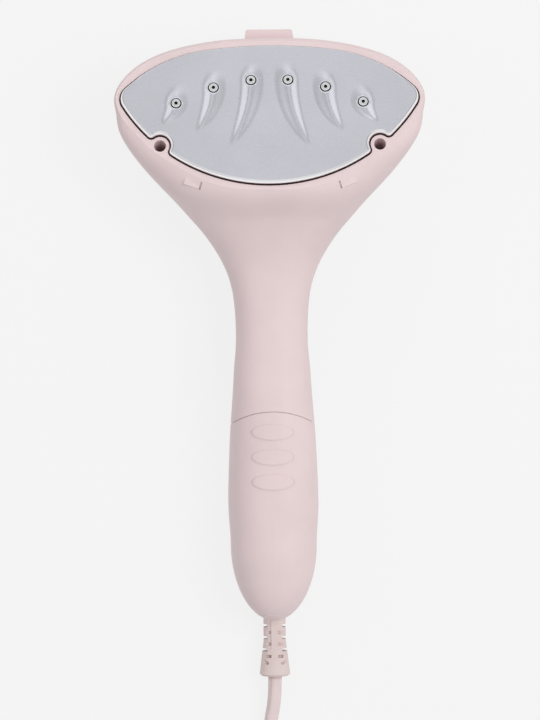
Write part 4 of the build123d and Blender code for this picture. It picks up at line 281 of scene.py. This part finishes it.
def outline(grow):
    """Plate's outline grown all round: right half from bottom to top, then its mirror image."""
    blend = NOTCH_BLEND + grow
    notch = NOTCH_R - grow
    far, near = meet(LOW, LOW_R + grow - blend, WELL, notch + blend)
    if far.x < near.x:
        far, near = near, far
    bottom = Vector((0.0, PLATE_FOOT - grow))
    foot = touch(TIP, LOW, LOW_R + grow)
    brow = touch(TIP, SHOULDER, SHOULDER_R + grow)
    top = JOIN + Vector((lean, stand)) * grow
    crown = Vector((0.0, PLATE_CROWN + grow))
    near_low, near_notch = touch(near, LOW, LOW_R + grow), touch(near, WELL, notch)
    far_low, far_notch = touch(far, LOW, LOW_R + grow), touch(far, WELL, notch)
    half = sweep_arc(LOW, LOW_R + grow, bottom, near_low, LOW_STEPS, 1)
    half += sweep_arc(near, blend, near_low, near_notch, BLEND_STEPS, 1)
    half += sweep_arc(WELL, notch, near_notch, far_notch, NOTCH_STEPS, -1)
    half += sweep_arc(far, blend, far_notch, far_low, BLEND_STEPS, 1)
    half += sweep_arc(LOW, LOW_R + grow, far_low, foot, FLANK_STEPS, 1)
    half += sweep_arc(TIP, TIP_R + grow, foot, brow, TIP_STEPS, 1)
    half += sweep_arc(SHOULDER, SHOULDER_R + grow, brow, top, SHOULDER_STEPS, 1)
    half += sweep_arc(CROWN, CROWN_R + grow, top, crown, CROWN_STEPS, 1)
    half.append(crown)
    return half + [Vector((-p.x, p.y)) for p in reversed(half[1:-1])]


# Nozzle places, and the pressed crescents by rise, drop, lean of the top and lean of the foot
NOZZLE_V = 55.2
NOZZLE_ARC_R = 92.0
NOZZLE_XS = (8.9, 27.0, 45.0)
NOZZLE_SEAT_R = 2.75
RIDGE_HEIGHT = 1.15
RIDGE_HALF = 5.8
RIDGE_LEAST = 0.05
RIDGE_CREST = 0.16
RIDGE_SWELL = (0.3, 0.25)
RIDGE_IN = 0.6
TOP_TAPER = 0.35
FOOT_TAPER = 0.25
FOOT_POINT = 0.6
RIDGES = ((10.0, 33.0, -1.6, 9.8), (10.0, 22.0, -1.6, 7.6), (10.5, 10.0, -2.0, 6.0))
ridges = []
for x, shape in zip(NOZZLE_XS, RIDGES):
    v = NOZZLE_V - NOZZLE_ARC_R + math.sqrt(NOZZLE_ARC_R**2 - x**2)
    for side in (-1, 1):
        ridges.append((side, x, v, *shape))


def ridge_height(u, v):
    """Smooth raised crescents, steeper on the side that faces outwards."""
    best = 0.0
    for side, x, y, rise, drop, top_lean, foot_lean in ridges:
        if not -drop < v - y < rise:
            continue
        if v > y:
            t = (v - y) / rise
            middle = x - RIDGE_IN + top_lean * t * t
            width = RIDGE_HALF * (1 - TOP_TAPER * t * t)
            tall = (1 - t) ** 2 * (1 + 2 * t)
        else:
            t = (y - v) / drop
            middle = x - RIDGE_IN + (foot_lean + RIDGE_IN) * t * t
            width = RIDGE_HALF * (1 - FOOT_TAPER * t) * (1 - t**3) ** FOOT_POINT
            tall = 1 - t**3
        across = (side * u - middle) / max(width, RIDGE_LEAST)
        if abs(across) >= 1:
            continue
        outer = across > RIDGE_CREST
        fall = abs(across - RIDGE_CREST) / (1 - RIDGE_CREST if outer else 1 + RIDGE_CREST)
        swell = RIDGE_SWELL[0] if outer else RIDGE_SWELL[1]
        lift = 1 - fall + swell * math.sin(2 * math.pi * fall) / (2 * math.pi)
        best = max(best, RIDGE_HEIGHT * tall * lift)
    return best


# Rolled edge of the plate as steps of growth and level, from the foot of the wall to the flat face
PLATE_RIMS = (
    (0.0, -4.0), (0.0, 0.6), (-0.1, 1.1), (-0.28, 1.55), (-0.56, 1.87), (-0.9, 2.02),
    (-1.2, 2.02), (-1.5, 1.9), (-1.62, 1.9),
)
# The rolled edge narrows to this share between two heights on the plate
ROLL_FADE = (44.0, 62.0)
ROLL_LEAST = 0.15
PLATE_LEVEL = 1.9
SEAT_LEVEL = 1.85
SEAT_STEPS = 28
SEAT_WALL = 0.12
SEAT_CLEAR = 0.3
GRID = 0.75
GRID_HIGH = 72.0
GRID_INSET = 2.3
SAME_SPOT = 1e-5


def rim_rings():
    """Rings of the rolled edge, in the order of its steps."""
    edge = outline(0.0)
    rings = []
    for grow, _ in PLATE_RIMS:
        ring = []
        for spot, moved in zip(edge, outline(grow)):
            fade = min(max((spot.y - ROLL_FADE[0]) / (ROLL_FADE[1] - ROLL_FADE[0]), 0.0), 1.0)
            ring.append(spot.lerp(moved, 1 - (1 - ROLL_LEAST) * fade))
        rings.append(ring)
    return rings


def seat_ring(seat, radius):
    """Circle of points about a nozzle's seat."""
    turns = [2 * math.pi * k / SEAT_STEPS for k in range(SEAT_STEPS)]
    return [seat + radius * Vector((math.cos(turn), math.sin(turn))) for turn in turns]


def nearest(spot, seats):
    """Distance from a spot to the nearest seat."""
    return min((spot - seat).length for seat in seats)


def grid_points(seats):
    """Even grid over the flat face, clear of its edge and of the nozzles' seats."""
    inside = outline(-GRID_INSET)
    spots = []
    for row in range(int(GRID_HIGH / GRID) + 1):
        v = PLATE_FOOT + row * GRID
        crossings = []
        for a, b in zip(inside, inside[1:] + inside[:1]):
            if (a.y > v) != (b.y > v):
                crossings.append(a.x + (v - a.y) * (b.x - a.x) / (b.y - a.y))
        crossings.sort()
        for low, high in zip(crossings[::2], crossings[1::2]):
            for k in range(math.ceil(low / GRID), math.floor(high / GRID) + 1):
                spot = Vector((k * GRID, v))
                if nearest(spot, seats) > NOZZLE_SEAT_R + SEAT_CLEAR:
                    spots.append(spot)
    return spots


def plate_mesh():
    """Points and faces of the pressed plate, and how many faces its wall and its whole edge have."""
    rings = rim_rings()
    count = len(rings[0])
    inner = (len(rings) - 1) * count
    points = []
    for ring, (_, level) in zip(rings, PLATE_RIMS):
        points += [on_plate(spot.x, spot.y, level) for spot in ring]
    faces = []
    for first in range(0, inner, count):
        faces += band(first, count)
    edge_faces = len(faces)
    field = [spot.copy() for spot in rings[-1]]
    edges = [(k, (k + 1) % count) for k in range(count)]
    seats = [Vector((side * x, y)) for side, x, y, *_ in ridges]
    for seat in seats:
        for radius in (NOZZLE_SEAT_R, NOZZLE_SEAT_R - SEAT_WALL):
            first = len(field)
            field += seat_ring(seat, radius)
            edges += [(first + k, first + (k + 1) % SEAT_STEPS) for k in range(SEAT_STEPS)]
    field += grid_points(seats)
    found = delaunay_2d_cdt(field, edges, [list(range(count))], 1, SAME_SPOT)
    spots, flat_faces, sources = found[0], found[2], found[3]
    index = []
    for spot, source in zip(spots, sources):
        if source and min(source) < count:
            index.append(inner + min(source))
            continue
        level = PLATE_LEVEL + ridge_height(spot.x, spot.y)
        if nearest(spot, seats) < NOZZLE_SEAT_R - SEAT_WALL / 2:
            level = SEAT_LEVEL
        index.append(len(points))
        points.append(on_plate(spot.x, spot.y, level))
    faces += [tuple(index[k] for k in face) for face in flat_faces]
    return points, faces, count, edge_faces


plate_points, plate_faces, wall_faces, edge_faces = plate_mesh()
plate = add_mesh("pressed_soleplate", plate_points, plate_faces)
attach(plate, "body")
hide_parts("soleplate")

# Nozzles turned from a profile of radius and height over the plate plane, the bore first
NOZZLE_PROFILE = (
    (0.82, 2.0), (0.82, 2.86), (0.88, 2.93), (0.98, 2.95), (1.7, 2.95), (1.92, 2.9), (2.06, 2.78),
    (2.12, 2.6), (2.12, 2.0), (2.5, 2.0),
)
# Rows of the profile painted dark as shade: the bore, the foot and the groove round it
NOZZLE_DARK = (0, 7, 8)
NOZZLE_STEPS = 40
nozzle_points = []
nozzle_faces = []
dark_faces = set()
for side, x, y, *_ in ridges:
    first = len(nozzle_points)
    for radius, level in NOZZLE_PROFILE:
        for k in range(NOZZLE_STEPS):
            turn = 2 * math.pi * k / NOZZLE_STEPS
            u = side * x + radius * math.cos(turn)
            nozzle_points.append(on_plate(u, y + radius * math.sin(turn), level))
    # The bore's floor is painted dark as shade too
    dark_faces.add(len(nozzle_faces))
    nozzle_faces.append(tuple(range(first, first + NOZZLE_STEPS)))
    for row in range(len(NOZZLE_PROFILE) - 1):
        done = len(nozzle_faces)
        if row in NOZZLE_DARK:
            dark_faces.update(range(done, done + NOZZLE_STEPS))
        nozzle_faces += band(first + row * NOZZLE_STEPS, NOZZLE_STEPS, flip=True)
nozzles = add_mesh("turned_nozzles", nozzle_points, nozzle_faces)
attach(nozzles, "body")
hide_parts("steam_nozzles")

# Lip along the tank's arched edge, which closes most of the seam's gap just under the surface
SEAM_CENTRE_Y = -81.5
SEAM_TANK_R = 38.15
SEAM_IN = 0.1
SEAM_OUT = 0.2
SEAM_SINK = 0.4
SEAM_DEEP = 1.0
SEAM_HALF = 21.4
SEAM_STEPS = 96
SEAM_SECTION = ((-SEAM_IN, 0.0), (SEAM_OUT, 0.0), (SEAM_OUT, SEAM_DEEP), (-SEAM_IN, SEAM_DEEP))
ABOVE_Z = 200.0
DOWN = Vector((0.0, 0.0, -1.0))
tank = nodes["tank_shell"]
tank_faces = BVHTree.FromPolygons(
    [tank.matrix_world @ vertex.co for vertex in tank.data.vertices],
    [tuple(polygon.vertices) for polygon in tank.data.polygons],
)


def on_seam(x, off, z):
    """Point at a distance off outside the tank's arched edge."""
    y = SEAM_CENTRE_Y + math.sqrt(SEAM_TANK_R**2 - x**2)
    out = Vector((x, y - SEAM_CENTRE_Y)) * (off / SEAM_TANK_R)
    return Vector(((x + out.x) * MM, (y + out.y) * MM, z * MM))


lip_points = []
for step in range(SEAM_STEPS + 1):
    x = SEAM_HALF * math.sin(math.pi * (step / SEAM_STEPS - 0.5))
    hit, normal, *_ = tank_faces.ray_cast(on_seam(x, -SEAM_IN, ABOVE_Z), DOWN)
    if hit is None:
        continue
    x = hit.x / MM - SEAM_SINK * normal.x
    z = hit.z / MM - SEAM_SINK * normal.z
    lip_points += [on_seam(x, off, z - deep) for off, deep in SEAM_SECTION]
corners = len(SEAM_SECTION)
last = len(lip_points) - corners
lip_faces = []
for first in range(0, last, corners):
    lip_faces += band(first, corners, flip=True)
lip_faces.append(tuple(range(corners)))
lip_faces.append(tuple(reversed(range(last, last + corners))))
lip = add_mesh("tank_lip", lip_points, lip_faces, False)
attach(lip, "tank")

# Springs: each spring's mesh is copied into a wire fixed to its joint's parent body, in place of the
# spring node
springs = []
for joint in frame["joints"]:
    for spring in joint.get("deforming_nodes", []):
        node = nodes[spring["node"]]
        wire = bpy.data.objects.new(spring["node"] + "_wire", node.data.copy())
        wire.data.transform(node.matrix_world)
        scene.collection.objects.link(wire)
        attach(wire, joint["parent"])
        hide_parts(spring["node"])
        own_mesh(wire)
        springs.append(wire)


# Materials
GRAIN_DETAIL = 4.0
GRAIN_DEPTH = 0.0002
LEAST_ROUGH = 0.02
CLOUD_SCALE = 45.0
CLOUD_DETAIL = 3.0
CLOUD_DEPTH = 0.025
CLOUD_STOPS = (0.3, 0.7)


def material(
    name, colour, rough, metal=0.0, grain=900.0, bump=0.05, vary=0.06, stretch=(1, 1, 1), coat=0.0,
):
    """Principled surface with fine grain in its roughness and normal and slow clouds in its colour."""
    made = bpy.data.materials.new(name)
    made.use_nodes = True
    tree = made.node_tree
    shader = tree.nodes["Principled BSDF"]
    shader.inputs["Metallic"].default_value = metal
    shader.inputs["Coat Weight"].default_value = coat
    place = tree.nodes.new("ShaderNodeTexCoord")
    scale = tree.nodes.new("ShaderNodeMapping")
    scale.inputs["Scale"].default_value = stretch
    noise = tree.nodes.new("ShaderNodeTexNoise")
    noise.inputs["Scale"].default_value = grain
    noise.inputs["Detail"].default_value = GRAIN_DETAIL
    tree.links.new(place.outputs["Object"], scale.inputs["Vector"])
    tree.links.new(scale.outputs["Vector"], noise.inputs["Vector"])
    spread = tree.nodes.new("ShaderNodeMapRange")
    spread.inputs["To Min"].default_value = max(rough - vary, LEAST_ROUGH)
    spread.inputs["To Max"].default_value = min(rough + vary, 1.0)
    tree.links.new(noise.outputs["Fac"], spread.inputs["Value"])
    tree.links.new(spread.outputs["Result"], shader.inputs["Roughness"])
    clouds = tree.nodes.new("ShaderNodeTexNoise")
    clouds.inputs["Scale"].default_value = CLOUD_SCALE
    clouds.inputs["Detail"].default_value = CLOUD_DETAIL
    tree.links.new(place.outputs["Object"], clouds.inputs["Vector"])
    tint = tree.nodes.new("ShaderNodeValToRGB")
    shares = (1 - CLOUD_DEPTH, 1 + CLOUD_DEPTH)
    for stop, share, position in zip(tint.color_ramp.elements, shares, CLOUD_STOPS):
        stop.color = tuple(min(part * share, 1.0) for part in colour[:3]) + (1.0,)
        stop.position = position
    tree.links.new(clouds.outputs["Fac"], tint.inputs["Fac"])
    tree.links.new(tint.outputs["Color"], shader.inputs["Base Color"])
    dents = tree.nodes.new("ShaderNodeBump")
    dents.inputs["Strength"].default_value = bump
    dents.inputs["Distance"].default_value = GRAIN_DEPTH
    tree.links.new(noise.outputs["Fac"], dents.inputs["Height"])
    tree.links.new(dents.outputs["Normal"], shader.inputs["Normal"])
    return made


PINK = linear(229, 209, 210)
PLATE_METAL = linear(236, 236, 245)
RIM_METAL = linear(246, 246, 248)
TAPE = linear(150, 92, 52)
ALONG_PLATE = (1, 14, 14)
ALONG_TAPE = (12, 1, 1)
looks = {
    "shell": material("pink_shell", PINK, 0.46, grain=1400, bump=0.10),
    "tank": material("pink_tank", PINK, 0.44, grain=1400, bump=0.10),
    "grip": material("pink_grip_painted_shade", PINK, 0.44, grain=1400, bump=0.10),
    "plate": material(
        "satin_plate", PLATE_METAL, 0.29, metal=1.0, grain=420, bump=0.03, stretch=ALONG_PLATE,
    ),
    "rim": material("polished_rim", RIM_METAL, 0.12, metal=1.0, grain=700, bump=0.01, vary=0.03),
    # Painted shade: the plate's metal wall takes a dark matt colour for the shade in the gap round the
    # plate
    "wall": material("painted_gap_shade_wall", linear(66, 56, 54), 0.45, grain=700, bump=0.05),
    "nozzle": material("nozzle_metal", linear(246, 246, 246), 0.26, metal=1.0, grain=900, bump=0.03),
    # Painted shade for the nozzles' bores, grooves and feet, a dark matt colour on the steel
    "bore": material("painted_shade_bore", linear(20, 18, 18), 0.80, grain=900, bump=0.10),
    "steel": material("steel", linear(188, 188, 192), 0.30, metal=1.0, grain=900, bump=0.04),
    "casting": material("cast_alloy", linear(176, 176, 178), 0.55, metal=1.0, grain=500, bump=0.35),
    # The seal's dark brown is its own colour and, in the gap round the plate, also painted shade for
    # that gap
    "seal": material("brown_seal_and_gap_shade", linear(74, 46, 40), 0.60, grain=1200, bump=0.10),
    "grey_rubber": material("grey_rubber", linear(118, 108, 110), 0.65, grain=1200, bump=0.15),
    "hose": material("milky_hose", linear(226, 224, 216), 0.40, grain=700, bump=0.05),
    "white_plastic": material("white_plastic", linear(228, 226, 221), 0.42, grain=1100, bump=0.06),
    "black_plastic": material("black_plastic", linear(38, 38, 41), 0.50, grain=1100, bump=0.10),
    "board": material("green_board", linear(44, 104, 66), 0.30, grain=600, bump=0.05, coat=0.4),
    "button": material("pink_button", linear(226, 205, 207), 0.28, grain=1200, bump=0.03, coat=0.2),
    "lamp": material("frosted_ring", linear(240, 238, 235), 0.55, grain=900, bump=0.05),
    "winding": material("coil_tape", TAPE, 0.42, grain=500, bump=0.15, stretch=ALONG_TAPE),
    "cord": material("pink_cord", linear(231, 213, 213), 0.40, grain=900, bump=0.06),
    "relief": material("pink_relief", linear(226, 209, 206), 0.52, grain=1000, bump=0.10),
    "live": material("brown_wire", linear(118, 74, 48), 0.45, grain=900, bump=0.04),
    "neutral": material("blue_wire", linear(62, 98, 168), 0.45, grain=900, bump=0.04),
    "earth": material("green_wire", linear(96, 154, 70), 0.45, grain=900, bump=0.04),
}


# Painted shade: a faint dark line round each oval pad of the grip, where shade falls at the pad's edge
OVAL_YS = (-53.0, -65.2, -77.4)
OVAL_LONG = 20.6
OVAL_WIDE = 7.6
OVAL_SHADE_SPREAD = 0.07
OVAL_PAINTED_SHADE = 0.91


def paint_oval_shade_lines(made):
    """Paints a thin line of shade along each oval, its width measured as the share of its half sizes."""
    tree = made.node_tree
    shader = tree.nodes["Principled BSDF"]
    colour = shader.inputs["Base Color"].links[0].from_socket
    place = tree.nodes.new("ShaderNodeTexCoord")
    across = 2 / (OVAL_LONG * MM)
    along = 2 / (OVAL_WIDE * MM)
    for y in OVAL_YS:
        fit = tree.nodes.new("ShaderNodeMapping")
        fit.inputs["Scale"].default_value = (across, along, 0.0)
        fit.inputs["Location"].default_value = (0.0, -y * MM * along, 0.0)
        reach = tree.nodes.new("ShaderNodeVectorMath")
        reach.operation = "LENGTH"
        off = tree.nodes.new("ShaderNodeMath")
        off.operation = "SUBTRACT"
        off.inputs[1].default_value = 1.0
        away = tree.nodes.new("ShaderNodeMath")
        away.operation = "ABSOLUTE"
        shade = tree.nodes.new("ShaderNodeMapRange")
        shade.interpolation_type = "SMOOTHSTEP"
        shade.inputs["From Max"].default_value = OVAL_SHADE_SPREAD
        shade.inputs["To Min"].default_value = OVAL_PAINTED_SHADE
        dark = tree.nodes.new("ShaderNodeVectorMath")
        dark.operation = "SCALE"
        tree.links.new(place.outputs["Object"], fit.inputs["Vector"])
        tree.links.new(fit.outputs["Vector"], reach.inputs[0])
        tree.links.new(reach.outputs["Value"], off.inputs[0])
        tree.links.new(off.outputs["Value"], away.inputs[0])
        tree.links.new(away.outputs["Value"], shade.inputs["Value"])
        tree.links.new(colour, dark.inputs[0])
        tree.links.new(shade.outputs["Result"], dark.inputs["Scale"])
        colour = dark.outputs["Vector"]
    tree.links.new(colour, shader.inputs["Base Color"])


# The grip's material gets the painted shade lines round its oval pads
paint_oval_shade_lines(looks["grip"])


def dress(obj, *names):
    """Gives a piece its looks in the order of their material numbers."""
    obj.data.materials.clear()
    for name in names:
        obj.data.materials.append(looks[name])


for part in frame["record"]["subparts"]:
    dress(nodes[part["node"]], part["material_slot"])
for wire in springs:
    dress(wire, "steel")
# The tank shell takes the grip's pink with painted shade lines round its pads
dress(nodes["tank_shell"], "grip")
dress(lip, "tank")
dress(cord, "cord")
# The wall faces of the rolled edge take the painted gap shade, the rest of the edge the polished rim
dress(plate, "plate", "rim", "wall")
for number in range(edge_faces):
    plate.data.polygons[number].material_index = 2 if number < wall_faces else 1
# The shaded rows and floors of the nozzles take the painted shade
dress(nozzles, "nozzle", "bore")
for number in dark_faces:
    nozzles.data.polygons[number].material_index = 1

# Small rounding on the moulded edges
ROUNDINGS = {
    "front_shell": 0.06, "rear_shell": 0.2, "tank_shell": 0.06, "strain_relief": 0.3, "plug_body": 0.5,
    "steam_button": 0.2, "power_button": 0.2, "tank_base": 0.25, "spine_cover": 0.25, "filler_plug": 0.3,
}
ROUNDED_FROM = math.radians(40)
for name, width in ROUNDINGS.items():
    rounding = nodes[name].modifiers.new("rounded_edges", "BEVEL")
    rounding.width = width * MM
    rounding.segments = 2
    rounding.limit_method = "ANGLE"
    rounding.angle_limit = ROUNDED_FROM
    rounding.harden_normals = False


def seen_directly(tree):
    """Socket that is 1 for the camera, gloss and what shows through glass, and 0 for other light."""
    rays = tree.nodes.new("ShaderNodeLightPath")
    seen = rays.outputs["Is Camera Ray"]
    for kind in ("Is Glossy Ray", "Is Transmission Ray"):
        either = tree.nodes.new("ShaderNodeMath")
        either.operation = "MAXIMUM"
        tree.links.new(seen, either.inputs[0])
        tree.links.new(rays.outputs[kind], either.inputs[1])
        seen = either.outputs["Value"]
    return seen


# Pale floor that keeps the object's shadow
BACKGROUND = linear(247, 247, 247)
FLOOR_COLOUR = linear(232, 232, 232)
FLOOR_HALF = 3.0
FLOOR_DROP = 0.0002
SHADOW_SHARE = 0.12
floor_signs = ((-1, -1), (1, -1), (1, 1), (-1, 1))
floor_corners = [(x * FLOOR_HALF, y * FLOOR_HALF, -FLOOR_DROP) for x, y in floor_signs]
floor = add_mesh("floor", floor_corners, [(0, 1, 2, 3)], False)
pale = bpy.data.materials.new("pale_floor")
pale.use_nodes = True
tree = pale.node_tree
tree.nodes.clear()
matt = tree.nodes.new("ShaderNodeBsdfDiffuse")
matt.inputs["Color"].default_value = FLOOR_COLOUR
glow = tree.nodes.new("ShaderNodeEmission")
glow.inputs["Color"].default_value = BACKGROUND
both = tree.nodes.new("ShaderNodeMixShader")
both.inputs["Fac"].default_value = SHADOW_SHARE
pick = tree.nodes.new("ShaderNodeMixShader")
surface = tree.nodes.new("ShaderNodeOutputMaterial")
tree.links.new(glow.outputs["Emission"], both.inputs[1])
tree.links.new(matt.outputs["BSDF"], both.inputs[2])
tree.links.new(seen_directly(tree), pick.inputs["Fac"])
tree.links.new(matt.outputs["BSDF"], pick.inputs[1])
tree.links.new(both.outputs["Shader"], pick.inputs[2])
tree.links.new(pick.outputs["Shader"], surface.inputs["Surface"])
floor.data.materials.append(pale)

# World: pale where it is seen, dimmer as a light
WORLD_LIGHT = (0.5, 0.5, 0.5, 1.0)
world = bpy.data.worlds.new("studio")
scene.world = world
world.use_nodes = True
tree = world.node_tree
tree.nodes.clear()
plain = tree.nodes.new("ShaderNodeBackground")
plain.inputs["Color"].default_value = BACKGROUND
dim = tree.nodes.new("ShaderNodeBackground")
dim.inputs["Color"].default_value = WORLD_LIGHT
pick = tree.nodes.new("ShaderNodeMixShader")
surface = tree.nodes.new("ShaderNodeOutputWorld")
tree.links.new(seen_directly(tree), pick.inputs["Fac"])
tree.links.new(dim.outputs["Background"], pick.inputs[1])
tree.links.new(plain.outputs["Background"], pick.inputs[2])
tree.links.new(pick.outputs["Shader"], surface.inputs["Surface"])


def lamp(name, place, aim, size, watts):
    """Soft area lamp that doesn't show in the gloss."""
    data = bpy.data.lights.new(name, "AREA")
    data.shape = "RECTANGLE"
    data.size, data.size_y = size
    data.energy = watts
    obj = bpy.data.objects.new(name, data)
    obj.location = place
    obj.rotation_euler = (Vector(aim) - Vector(place)).to_track_quat("-Z", "Y").to_euler()
    obj.visible_glossy = False
    scene.collection.objects.link(obj)


lamp("key", (0.75, 0.1, 1.35), (0.0, 0.0, 0.03), (0.8, 0.8), 10.2)
lamp("fill", (-0.9, 0.1, 1.0), (0.0, 0.0, 0.03), (0.5, 0.9), 1.6)
lamp("back", (0.0, 1.2, 0.8), (0.0, 0.05, 0.03), (1.0, 0.4), 2.4)

# Grey cards over the plate that only gloss sees, so that the polished metal has something to mirror
CARD_LEAN = math.radians(30)
CARD_FAR = 1.5
CARD_AIM = Vector((0.0, 0.1, 0.05))
CARD_LOW = -1.1
CARD_HIGH = 0.5
CARD_EDGES = (-0.7, -0.24, 0.28, 0.7)
MIDDLE_GREY = 0.71
SIDE_GREY = 0.38


def card(name, left, right, grey):
    """Card facing the plate, its edges given across in metres at the cards' distance."""
    out = Vector((0, math.sin(CARD_LEAN), math.cos(CARD_LEAN)))
    along = Vector((0, math.cos(CARD_LEAN), -math.sin(CARD_LEAN)))
    corners = []
    for x, up in ((left, CARD_LOW), (right, CARD_LOW), (right, CARD_HIGH), (left, CARD_HIGH)):
        corners.append(CARD_AIM + out * CARD_FAR + along * up + Vector((x, 0, 0)))
    made = add_mesh(name, corners, [(0, 1, 2, 3)], False)
    made.visible_camera = False
    made.visible_diffuse = False
    made.visible_shadow = False
    paint = bpy.data.materials.new(name)
    paint.use_nodes = True
    tree = paint.node_tree
    tree.nodes.clear()
    tone = tree.nodes.new("ShaderNodeEmission")
    tone.inputs["Color"].default_value = (grey, grey, grey, 1.0)
    surface = tree.nodes.new("ShaderNodeOutputMaterial")
    tree.links.new(tone.outputs["Emission"], surface.inputs["Surface"])
    made.data.materials.append(paint)


card("card_middle", CARD_EDGES[1], CARD_EDGES[2], MIDDLE_GREY)
card("card_left", CARD_EDGES[0], CARD_EDGES[1], SIDE_GREY)
card("card_right", CARD_EDGES[2], CARD_EDGES[3], SIDE_GREY)
